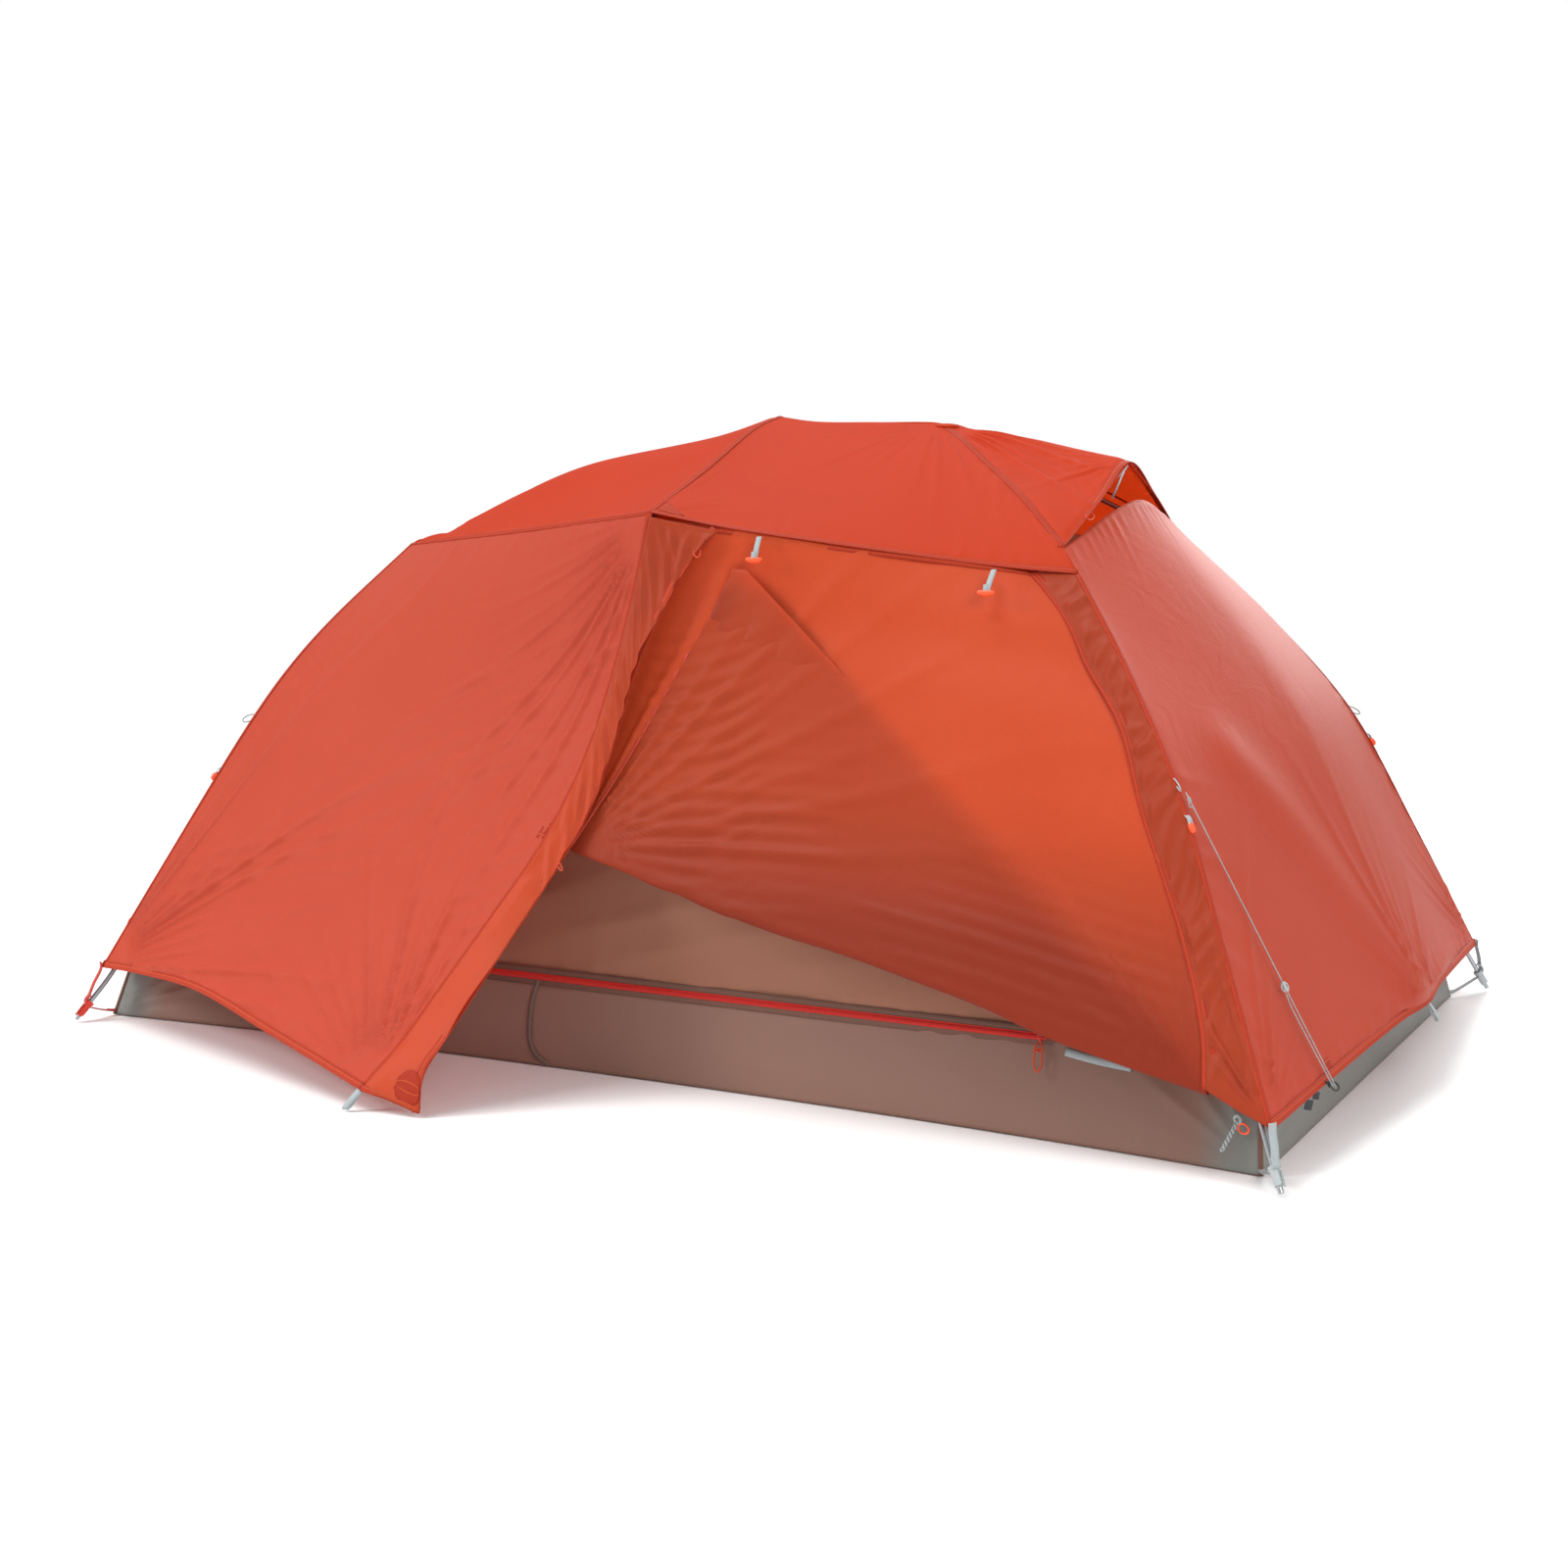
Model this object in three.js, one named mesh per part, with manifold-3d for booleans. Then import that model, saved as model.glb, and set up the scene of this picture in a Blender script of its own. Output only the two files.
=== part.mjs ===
// A two-person hub-pole tent with its rainfly on, in millimetres.
// The origin is the middle of the footprint on the ground: +X is the head end, -Y the front door, +Z up.
import * as THREE from "three";
import { mergeVertices } from "three/addons/utils/BufferGeometryUtils.js";
import Module from "manifold-3d";

// ---- driving dimensions ----
const FLOOR_HEAD_X = 1115; // half lengths and half widths of the inner tent's floor
const FLOOR_HEAD_Y = 672;
const FLOOR_FOOT_X = 1105;
const FLOOR_FOOT_Y = 550;
const FLOOR_CURVE = 55; // how far the long sides pull in at mid-length
const BATHTUB_HEIGHT = 155;
const FABRIC = 2; // thickness of one layer of cloth
const SEAM_GAP = 3; // bare strip left at a seam, so that two panels never touch
const POLE_RADIUS = 4.4;
const POLE_INSET = 17; // pole axis to the outside of the fly
const WEBBING_WIDTH = 15;
const WEBBING = 1.6;
const CORD_RADIUS = 1;
const RIDGE_X = 8; // station of the cross pole
const PEAK_Z = 1105;
const HEAD_HUB = [320, 1094]; // run along X and height of the fly over each hub
const FOOT_HUB = [-720, 872];
const HEAD_FOOT = [1167, 761]; // where the pole feet stand, X and half width
const FOOT_FOOT = [-1128, 628];
const STAKE_OUT_X = 1210; // the hem's middle at both ends
const STAKE_OUT_Z = 134;
const VESTIBULE = [-296, 925, 34]; // the vestibule's stake point, at Y of both signs

// Each leg's fly seam: run from the hub towards the foot, and height.
const HEAD_LEG = [
  [0, 1094], [24, 1088], [90, 1066], [179, 1031], [325, 970], [463, 897],
  [513, 857], [669, 723], [827, 558], [975, 322], [1109, 93],
];
const VENT_BASE = 5; // where the vent and the roof's side seam meet the head legs
const ROOF_END = 6;
const FOOT_LEG = [[0, 872], [62, 861], [226, 725], [308, 645], [389, 547], [578, 274], [696, 98]];

// ---- colours ----
const ORANGE = 0xd9583a;
const ORANGE_DARK = 0xb8452c;
const GREY_CLOTH = 0x9a8478;
const GREY_FLOOR = 0x8a8079;
const ALUMINIUM = 0xb9bcc0;
const GREY_PLASTIC = 0x9aa3a5;
const RED_PLASTIC = 0xd3321c;
const TOGGLE_ORANGE = 0xff5a1e;
const ZIP_RED = 0xc81e0c;
const GREY_WEBBING = 0xb9c1c2;
const METAL = [0.35, 0.9]; // roughness and metalness of the poles
const PLASTIC = 0.5; // roughness of moulded fittings

const wasm = await Module();
wasm.setup();
const tent = new THREE.Group();

// ---- helpers ----
const BACK_FACE = 5; // the group of a BoxGeometry's face towards -Z
const at = (x, y, z) => new THREE.Vector3(x, y, z);
const through = (points) =>
  new THREE.CatmullRomCurve3(points.map((p) => at(...p)), false, "centripetal");
const flipped = (points) => points.map(([x, y, z]) => [x, -y, z]);
const backwards = (points) => [...points].reverse();

function add(name, geometry, color, roughness = 0.8, metalness = 0) {
  const mesh = new THREE.Mesh(geometry, new THREE.MeshStandardMaterial({ color, roughness, metalness }));
  mesh.name = name;
  tent.add(mesh);
  return mesh;
}

// A closed three.js geometry as a manifold-3d solid, and back.
function solid(geometry) {
  const bare = geometry.clone();
  bare.deleteAttribute("normal");
  bare.deleteAttribute("uv");
  const merged = mergeVertices(bare, 1e-3);
  return new wasm.Manifold(
    new wasm.Mesh({
      numProp: 3,
      vertProperties: merged.attributes.position.array,
      triVerts: new Uint32Array(merged.index.array),
    }),
  );
}

function meshOf(manifold) {
  const made = manifold.getMesh();
  const geometry = new THREE.BufferGeometry();
  geometry.setAttribute("position", new THREE.BufferAttribute(made.vertProperties, 3));
  geometry.setIndex(new THREE.BufferAttribute(made.triVerts, 1));
  return geometry;
}

const joined = (...geometries) => meshOf(geometries.map(solid).reduce((a, b) => a.add(b)));

// The Coons patch between four edge curves: low and high run along u, left and right along v.
function patch(low, high, left, right) {
  const corners = [low.getPoint(0), low.getPoint(1), high.getPoint(0), high.getPoint(1)];
  return (u, v) => {
    const point = low.getPointAt(u).multiplyScalar(1 - v);
    point.addScaledVector(high.getPointAt(u), v);
    point.addScaledVector(left.getPointAt(v), 1 - u);
    point.addScaledVector(right.getPointAt(v), u);
    point.addScaledVector(corners[0], -(1 - u) * (1 - v));
    point.addScaledVector(corners[1], -u * (1 - v));
    point.addScaledVector(corners[2], -(1 - u) * v);
    point.addScaledVector(corners[3], -u * v);
    return point;
  };
}

// Splits the back face's quads along the same diagonals as the front's, so that on a twisted
// surface the two faces stay parallel.
function sameDiagonals(geometry) {
  const { start, count } = geometry.groups[BACK_FACE];
  const index = geometry.getIndex();
  for (let i = start; i < start + count; i += 6) {
    const [a, b, d] = [index.getX(i), index.getX(i + 1), index.getX(i + 2)];
    const c = index.getX(i + 4);
    [a, b, c, a, c, d].forEach((vertex, k) => index.setX(i + k, vertex));
  }
}

// A panel of cloth: a box bent over a surface, set in from its seams.
function panel(surface, columns, rows, thickness = FABRIC, gap = SEAM_GAP) {
  const geometry = new THREE.BoxGeometry(1, 1, 1, columns, rows, 1);
  const position = geometry.getAttribute("position");
  const across = surface(0, 0.5).distanceTo(surface(1, 0.5));
  const along = surface(0.5, 0).distanceTo(surface(0.5, 1));
  const inset = (t, length) => gap / length + (t + 0.5) * (1 - (2 * gap) / length);
  const step = 0.01;
  for (let i = 0; i < position.count; i += 1) {
    const u = inset(position.getX(i), across);
    const v = inset(position.getY(i), along);
    const middle = surface(u, v);
    const du = surface(Math.min(u + step, 1), v).sub(surface(Math.max(u - step, 0), v));
    const dv = surface(u, Math.min(v + step, 1)).sub(surface(u, Math.max(v - step, 0)));
    const normal = du.cross(dv).normalize();
    middle.addScaledVector(normal, position.getZ(i) * thickness);
    position.setXYZ(i, middle.x, middle.y, middle.z);
  }
  sameDiagonals(geometry);
  return geometry;
}

// A round bar along a curve.
function bar(curve, radius, steps, sides = 8) {
  const ring = Array.from({ length: sides }, (_, i) => {
    const angle = ((i + 0.5) * 2 * Math.PI) / sides;
    return new THREE.Vector2(radius * Math.cos(angle), radius * Math.sin(angle));
  });
  return new THREE.ExtrudeGeometry(new THREE.Shape(ring), {
    steps,
    bevelEnabled: false,
    extrudePath: curve,
  });
}

// A stretch of a curve from t0 to t1 by length, kept as points.
function stretch(curve, t0, t1, count = 12) {
  const points = [];
  for (let i = 0; i <= count; i += 1) points.push(curve.getPointAt(t0 + ((t1 - t0) * i) / count));
  return new THREE.CatmullRomCurve3(points, false, "centripetal");
}

// A flat strap from one point to another: wide along a given direction.
function strap(from, to, wide, width = WEBBING_WIDTH, thick = WEBBING) {
  const length = from.distanceTo(to);
  const geometry = new THREE.BoxGeometry(width, thick, length);
  const zAxis = to.clone().sub(from).normalize();
  const yAxis = zAxis.clone().cross(wide).normalize();
  const xAxis = yAxis.clone().cross(zAxis).normalize();
  geometry.applyMatrix4(new THREE.Matrix4().makeBasis(xAxis, yAxis, zAxis));
  const centre = from.clone().add(to).multiplyScalar(0.5);
  geometry.translate(centre.x, centre.y, centre.z);
  return geometry;
}

// ---- the legs, which both the poles and the fly's seams follow ----
function legPoint(hubX, foot, side, run, z) {
  const reach = Math.hypot(foot[0] - hubX, foot[1]);
  return [hubX + ((foot[0] - hubX) * run) / reach, (side * foot[1] * run) / reach, z];
}
const headLeg = (side) => HEAD_LEG.map(([run, z]) => legPoint(HEAD_HUB[0], HEAD_FOOT, side, run, z));
const footLeg = (side) => FOOT_LEG.map(([run, z]) => legPoint(FOOT_HUB[0], FOOT_FOOT, side, run, z));

// The same profile moved inwards by the pole's inset, and carried on to the ground.
function polePoints(profile, hubX, foot, side) {
  const reach = Math.hypot(foot[0] - hubX, foot[1]);
  const inner = profile.map(([run, z], i) => {
    const [r0, z0] = profile[Math.max(i - 1, 0)];
    const [r1, z1] = profile[Math.min(i + 1, profile.length - 1)];
    const length = Math.hypot(r1 - r0, z1 - z0);
    return [run + (POLE_INSET * (z1 - z0)) / length, z - (POLE_INSET * (r1 - r0)) / length];
  });
  inner[inner.length - 1][0] -= 6;
  inner.push([reach, 6]);
  return inner.map(([run, z]) => legPoint(hubX, foot, side, run, z));
}

// ---- seams of the fly, as points on the front (Y below 0) ----
const crossTip = [RIDGE_X, -500, 949];
const headCorner = headLeg(-1).at(-1);
const footCorner = footLeg(-1).at(-1);
const stake = [VESTIBULE[0], -VESTIBULE[1], VESTIBULE[2]];
const ridgeFoot = [[-720, 0, 872], [-391, 0, 1013], [-102, 0, 1068], [RIDGE_X, 0, PEAK_Z]];
const ridgeHead = [[RIDGE_X, 0, PEAK_Z], [80, 0, 1096], [200, 0, 1095], [320, 0, 1094]];
const crossArc = [crossTip, [RIDGE_X, -294, 1016], [RIDGE_X, -102, 1085], [RIDGE_X, 0, PEAK_Z]];
const roofSeamFoot = [footLeg(-1)[1], [-373, -276, 903], crossTip];
const roofSeamHead = [crossTip, [124, -472, 926], [292, -434, 902], [581, -367, 866], headLeg(-1)[ROOF_END]];
const centreSeam = [
  stake, [-254, -865, 104], [-216, -809, 183], [-165, -738, 288], [-110, -662, 405],
  [-66, -602, 531], [-38, -563, 650], [-9, -523, 815], crossTip,
];
const frontHem = [footCorner, [-975, -638, 108], [-778, -722, 112], [-560, -814, 78], [-400, -882, 52], stake];
const backHem = [stake, [-60, -880, 52], [350, -835, 100], [800, -780, 110], headCorner];
const headHem = [headCorner, [1164, -505, 109], [1197, -140, 133], [STAKE_OUT_X, 0, STAKE_OUT_Z]];
const footHem = [footCorner, [-1150, -350, 120], [-1195, -110, 133], [-STAKE_OUT_X, 0, STAKE_OUT_Z]];
const ventTip = [673, 0, 1029];
const ventBase = headLeg(-1)[VENT_BASE];
const jamb = [
  [628, -353, 857], [668, -375, 824], [718, -410, 775], [755, -440, 722],
  [833, -502, 635], [890, -562, 511], [980, -636, 335], [1032, -702, 210], [1044, -730, 136],
];
const fold = [
  [-70, -640, 402], [232, -668, 328], [450, -690, 284], [646, -706, 240], [788, -718, 193],
  [933, -726, 159], [1044, -730, 136],
];
const flapEdge = [
  [-187, -925, 8], [-187, -908, 72], [-170, -870, 118], [-125, -775, 240], [-70, -665, 385],
  [-40, -618, 470], [-8, -585, 590], [18, -563, 700], [50, -535, 790], [85, -505, 868], [124, -480, 920],
];
const foldApex = [167, -508, 858];

const mirrorInY = (surface) => (u, v) => {
  const point = surface(u, 1 - v);
  point.y = -point.y;
  return point;
};

// The front half of a surface and its mirror image, which meet on the ridge at v = 0.5.
const overRidge = (half) => (u, v) => {
  const point = half(u, v < 0.5 ? 2 * v : 2 - 2 * v);
  if (v > 0.5) point.y = -point.y;
  return point;
};

const acrossEnd = (hem) => through([...hem, ...backwards(flipped(hem.slice(0, -1)))]);

// ---- fly ----
const roofFoot = patch(
  through(roofSeamFoot), through(ridgeFoot), through([footLeg(-1)[1], ridgeFoot[0]]), through(crossArc),
);
add("fly_roof_foot", panel(overRidge(roofFoot), 7, 10), ORANGE);

const RIDGE_GAP = 5; // the two slopes of the roof meet at an angle here
const VENT_SILL_DROP = 6; // the head wall's top edge lies below the brow's corners
const roofSide = patch(
  through(roofSeamHead), through([...ridgeHead, ...headLeg(-1).slice(1, VENT_BASE + 1)]),
  through(crossArc), through([headLeg(-1)[ROOF_END], ventBase]),
);
add("fly_roof_front", panel(roofSide, 9, 5, FABRIC, RIDGE_GAP), ORANGE);
add("fly_roof_back", panel(mirrorInY(roofSide), 9, 5, FABRIC, RIDGE_GAP), ORANGE);

const browTop = [HEAD_HUB[0] + 34, 0, 1091];
const browHalf = patch(
  through(headLeg(-1).slice(1, VENT_BASE + 1)), through([browTop, [507, 0, 1064], ventTip]),
  through([headLeg(-1)[1], browTop]),
  through([ventBase, [672, -150, 968], ventTip]),
);
add("fly_vent_brow", panel(overRidge(browHalf), 6, 8), ORANGE);

const ventSillEnd = [ventBase[0] + 2, ventBase[1], ventBase[2] - VENT_SILL_DROP];
const headWall = patch(
  acrossEnd(headHem),
  through([ventSillEnd, [690, 0, 958], flipped([ventSillEnd])[0]]),
  through(backwards(headLeg(-1).slice(VENT_BASE))),
  through(backwards(headLeg(1).slice(VENT_BASE))),
);
add("fly_head_wall", panel(headWall, 14, 10), ORANGE);

const footWall = patch(
  through(backwards([...footHem, ...backwards(flipped(footHem.slice(0, -1)))])),
  through([footLeg(1)[1], [-764, 0, 868], footLeg(-1)[1]]),
  through(backwards(footLeg(1).slice(1))),
  through(backwards(footLeg(-1).slice(1))),
);
add("fly_foot_wall", panel(footWall, 10, 7), ORANGE);

const doorLeft = patch(
  through(frontHem), through(roofSeamFoot),
  through(backwards(footLeg(-1).slice(1))), through(centreSeam),
);
add("fly_door_left", panel(doorLeft, 10, 10), ORANGE);
add("fly_back_left", panel(mirrorInY(doorLeft), 8, 8), ORANGE);

const backRight = patch(
  through(backHem), through(roofSeamHead),
  through(centreSeam), through(backwards(headLeg(-1).slice(ROOF_END))),
);
add("fly_back_right", panel(mirrorInY(backRight), 10, 8), ORANGE);

// The flap over the zip hangs free from the left door's centre seam.
const proud = (points, y) => points.map((p) => [p[0], p[1] + y, p[2]]);
const FLAP_PROUD = -3;
const stormFlap = patch(
  through([proud([stake], FLAP_PROUD)[0], [-245, -926, 24], flapEdge[0]]),
  through([[RIDGE_X + 4, -506, 942], flapEdge.at(-1)]),
  through(proud(centreSeam.slice(0, -1), FLAP_PROUD).concat([[RIDGE_X + 4, -506, 942]])),
  through(flapEdge),
);
add("fly_storm_flap", panel(stormFlap, 3, 14), ORANGE_DARK);

// The right door, folded up along a slant: its lower corner is tied up behind it.
const BEHIND = 14; // how far the door lies behind the flap's seam
const FOLD_DEPTH = 13; // between the door's two layers
const FRONT_LAYER = 4; // how far the front layer lies behind the fold line
const APEX_HALF = 12; // half the width of the tied-up corner
const doorTop = proud(roofSeamHead.slice(0, -1).concat([jamb[0]]), BEHIND * 0.4);
doorTop[0] = [RIDGE_X + 14, -488, 936];
const doorLeftEdge = proud([fold[0], [-62, -590, 531], [-34, -552, 650], [-2, -512, 815]], BEHIND);
const frontFold = proud(fold, FRONT_LAYER);
const layer = patch(
  through(frontFold), through(doorTop),
  through([frontFold[0], ...doorLeftEdge.slice(1), doorTop[0]]),
  through(proud(backwards(jamb), FRONT_LAYER)),
);
const backFold = proud(fold, FRONT_LAYER + FOLD_DEPTH);
const apexLeft = [foldApex[0] - APEX_HALF, foldApex[1] + FOLD_DEPTH, foldApex[2]];
const apexRight = [foldApex[0] + APEX_HALF, foldApex[1] + FOLD_DEPTH, foldApex[2]];
const foldedLayer = patch(
  through(backFold), through([apexLeft, apexRight]),
  through([backFold[0], [10, -562 + FOLD_DEPTH, 560], apexLeft]),
  through([backFold.at(-1), [620, -590 + FOLD_DEPTH, 480], apexRight]),
);
const foldRoll = stretch(through(proud(fold, FRONT_LAYER + FOLD_DEPTH / 2)), 0.01, 0.99);
add(
  "fly_door_right",
  joined(panel(layer, 10, 9, FABRIC, 6), panel(foldedLayer, 8, 7), bar(foldRoll, FOLD_DEPTH / 2 + 2, 10, 6)),
  ORANGE,
);

const jambStrip = patch(
  through([jamb.at(-1), [1095, -735, 112], headCorner]),
  through([jamb[0], headLeg(-1)[ROOF_END]]),
  through(backwards(jamb)),
  through(backwards(headLeg(-1).slice(ROOF_END))),
);
add("fly_jamb_right", panel(jambStrip, 3, 10), ORANGE);

// ---- poles ----
const HUB_RADIUS = 15;
const HUB_HEIGHT = 12;
const HUB_CLEARANCE = 2.5; // from the hub to the ends of the poles in it
const JOINT_GAP = 0.4;
const SIDES = ["front", "back"];
const ENDS = {
  head: { hub: HEAD_HUB, foot: HEAD_FOOT, profile: HEAD_LEG },
  foot: { hub: FOOT_HUB, foot: FOOT_FOOT, profile: FOOT_LEG },
};
const hubCentre = (hub) => at(hub[0], 0, hub[1] - POLE_INSET);

function fromHub(curve, centre) {
  const length = curve.getLength();
  let t = 0;
  while (curve.getPointAt(t).distanceTo(centre) < HUB_RADIUS + HUB_CLEARANCE) t += 0.5 / length;
  return t;
}

const POLE_JOINT = 0.52; // share of a leg that is its upper piece
const RIDGE_JOINT = 0.5;
const HALF_JOINT_GAP = 0.001; // share of the cross pole left free on each side of its joint
const legCurves = {};
for (const [end, { hub, foot, profile }] of Object.entries(ENDS)) {
  for (const side of SIDES) {
    const sign = side === "front" ? -1 : 1;
    const points = polePoints(profile, hub[0], foot, sign);
    points[0] = [hub[0], 0, hub[1] - POLE_INSET];
    const curve = through(points);
    const t0 = fromHub(curve, hubCentre(hub));
    const gap = JOINT_GAP / curve.getLength();
    legCurves[end + side] = curve;
    const upper = stretch(curve, t0, POLE_JOINT);
    const lower = stretch(curve, POLE_JOINT + gap, 1);
    add(`leg_${end}_${side}_upper`, bar(upper, POLE_RADIUS, 12), ALUMINIUM, ...METAL);
    add(`leg_${end}_${side}_lower`, bar(lower, POLE_RADIUS, 9), ALUMINIUM, ...METAL);
  }
  const disc = new THREE.CylinderGeometry(HUB_RADIUS, HUB_RADIUS, HUB_HEIGHT, 20).rotateX(Math.PI / 2);
  disc.translate(...hubCentre(hub).toArray());
  add(`${end}_hub`, disc, GREY_PLASTIC, PLASTIC);
}

const RIDGE_POLE_PEAK = 1071;
const ridgeCurve = through([
  hubCentre(FOOT_HUB).toArray(), [-391, 0, 996], [-102, 0, 1053], [RIDGE_X, 0, RIDGE_POLE_PEAK],
  [154, 0, 1078], hubCentre(HEAD_HUB).toArray(),
]);
const ridgeEnd = 1 - (HUB_RADIUS + HUB_CLEARANCE) / ridgeCurve.getLength();
const ridgeStart = fromHub(ridgeCurve, hubCentre(FOOT_HUB));
const ridgeFootPiece = stretch(ridgeCurve, ridgeStart, RIDGE_JOINT);
const ridgeHeadPiece = stretch(ridgeCurve, RIDGE_JOINT + HALF_JOINT_GAP / 2, ridgeEnd);
add("ridge_pole_foot", bar(ridgeFootPiece, POLE_RADIUS, 8), ALUMINIUM, ...METAL);
add("ridge_pole_head", bar(ridgeHeadPiece, POLE_RADIUS, 8), ALUMINIUM, ...METAL);

const CROSS_PEAK = 1095;
const crossHalf = [
  [RIDGE_X, -488, 942], [RIDGE_X, -290, 1005], [RIDGE_X, -101, 1075], [RIDGE_X, 0, CROSS_PEAK],
];
const crossCurve = through([...crossHalf, ...backwards(flipped(crossHalf.slice(0, -1)))]);
const crossFront = stretch(crossCurve, 0, 0.5 - HALF_JOINT_GAP);
const crossBack = stretch(crossCurve, 0.5 + HALF_JOINT_GAP, 1);
add("cross_pole_front", bar(crossFront, POLE_RADIUS, 8), ALUMINIUM, ...METAL);
add("cross_pole_back", bar(crossBack, POLE_RADIUS, 8), ALUMINIUM, ...METAL);

const SADDLE_RADII = [4, 9];
const saddleBottom = RIDGE_POLE_PEAK + POLE_RADIUS + 0.5;
const saddleTop = CROSS_PEAK - POLE_RADIUS - 0.8;
const saddle = new THREE.CylinderGeometry(...SADDLE_RADII, saddleTop - saddleBottom, 12);
saddle.rotateX(Math.PI / 2).translate(RIDGE_X, 0, (saddleBottom + saddleTop) / 2);
add("cross_pole_saddle", saddle, GREY_PLASTIC, PLASTIC);

// A ring round a pole at t on its curve.
function sleeve(curve, t, inner, outer, length, segments = 10) {
  const profile = [[inner, -1], [outer, -1], [outer, 1], [inner, 1], [inner, -1]];
  const ring = new THREE.LatheGeometry(
    profile.map(([r, s]) => new THREE.Vector2(r, (s * length) / 2)), segments,
  );
  const axis = curve.getTangentAt(t);
  ring.applyQuaternion(new THREE.Quaternion().setFromUnitVectors(at(0, 1, 0), axis));
  const centre = curve.getPointAt(t);
  ring.translate(centre.x, centre.y, centre.z);
  return ring;
}

// ---- inner tent ----
const floorY = (x) => {
  const share = (x + FLOOR_FOOT_X) / (FLOOR_HEAD_X + FLOOR_FOOT_X);
  const straight = FLOOR_FOOT_Y + (FLOOR_HEAD_Y - FLOOR_FOOT_Y) * share;
  return straight - FLOOR_CURVE * (1 - (2 * share - 1) ** 2);
};
const FLOOR_STEPS = 8;
const FLOOR_THICKNESS = 3;
const floorEdge = Array.from({ length: FLOOR_STEPS + 1 }, (_, i) => {
  const x = -FLOOR_FOOT_X + ((FLOOR_HEAD_X + FLOOR_FOOT_X) * i) / FLOOR_STEPS;
  return [x, -floorY(x), FLOOR_THICKNESS / 2];
});
const TUB_FOOT = [-1080, 488];
const TUB_HEAD = [1090, 603];
const tubSlope = (TUB_HEAD[1] - TUB_FOOT[1]) / (TUB_HEAD[0] - TUB_FOOT[0]);
const tubY = (x) => TUB_FOOT[1] + tubSlope * (x - TUB_FOOT[0]);
const TUB_SEAM = 5; // the bathtub wall and the canopy end this far below and above the zip's line
const tubZ = BATHTUB_HEIGHT - TUB_SEAM;
const floorOutline = [...floorEdge, ...backwards(flipped(floorEdge))];
const floorSlab = new THREE.ExtrudeGeometry(
  new THREE.Shape(floorOutline.map(([x, y]) => new THREE.Vector2(x, y))),
  { depth: FLOOR_THICKNESS, bevelEnabled: false },
);
const tubWall = (low, a, b) =>
  patch(through(low), through([a, b]), through([low[0], a]), through([low.at(-1), b]));
const tubFront = tubWall(floorEdge, [TUB_FOOT[0], -TUB_FOOT[1], tubZ], [TUB_HEAD[0], -TUB_HEAD[1], tubZ]);
const tubHead = tubWall(
  [floorEdge.at(-1), flipped([floorEdge.at(-1)])[0]],
  [TUB_HEAD[0], -TUB_HEAD[1], tubZ], [TUB_HEAD[0], TUB_HEAD[1], tubZ],
);
const tubFoot = tubWall(
  [flipped([floorEdge[0]])[0], floorEdge[0]],
  [TUB_FOOT[0], TUB_FOOT[1], tubZ], [TUB_FOOT[0], -TUB_FOOT[1], tubZ],
);
add(
  "inner_floor",
  joined(
    floorSlab,
    panel(tubFront, FLOOR_STEPS, 2, FABRIC, 0),
    panel(mirrorInY(tubFront), FLOOR_STEPS, 2, FABRIC, 0),
    panel(tubHead, 3, 2, FABRIC, 0),
    panel(tubFoot, 3, 2, FABRIC, 0),
  ),
  GREY_FLOOR,
);

const wallZ = BATHTUB_HEIGHT + TUB_SEAM;
const innerHeadEdge = [
  [TUB_HEAD[0], -TUB_HEAD[1], wallZ], [1000, -568, 320], [888, -502, 545], [772, -402, 700], [665, -305, 812],
];
const innerFootEdge = [
  [TUB_FOOT[0], -TUB_FOOT[1], wallZ], [-1002, -432, 290], [-893, -288, 520], [-803, -165, 690],
  [-715, -45, 812],
];
const innerRoofEdge = [innerFootEdge.at(-1), [8, -446, 885], innerHeadEdge.at(-1)];
const straightThrough = (points) =>
  new THREE.CatmullRomCurve3(points.map((p) => at(...p)), false, "catmullrom", 0.1);
const innerSide = patch(
  through([innerFootEdge[0], innerHeadEdge[0]]), straightThrough(innerRoofEdge),
  through(innerFootEdge), through(innerHeadEdge),
);
add("inner_front_wall", panel(innerSide, 12, 7), GREY_CLOTH);
add("inner_back_wall", panel(mirrorInY(innerSide), 12, 7), GREY_CLOTH);

const innerRidge = [[-715, 0, 824], [-391, 0, 950], [RIDGE_X, 0, 1028], [320, 0, 1026], [665, 0, 850]];
const innerRoofHalf = patch(
  straightThrough(innerRoofEdge), through(innerRidge),
  through([innerRoofEdge[0], innerRidge[0]]), through([innerRoofEdge[2], [665, -150, 840], innerRidge[4]]),
);
add("inner_roof", panel(overRidge(innerRoofHalf), 12, 8), GREY_CLOTH);

const headTop = [innerHeadEdge.at(-1), [665, -150, 840], innerRidge[4]];
const innerHead = patch(
  through([innerHeadEdge[0], flipped([innerHeadEdge[0]])[0]]),
  through([...headTop, ...backwards(flipped(headTop.slice(0, -1)))]),
  through(innerHeadEdge), through(flipped(innerHeadEdge)),
);
add("inner_head_wall", panel(innerHead, 6, 7), GREY_CLOTH);
const footTop = [innerFootEdge.at(-1), innerRidge[0], flipped([innerFootEdge.at(-1)])[0]];
const innerFoot = patch(
  through([flipped([innerFootEdge[0]])[0], innerFootEdge[0]]), through(backwards(footTop)),
  through(flipped(innerFootEdge)), through(innerFootEdge),
);
add("inner_foot_wall", panel(innerFoot, 4, 6), GREY_CLOTH);

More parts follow.
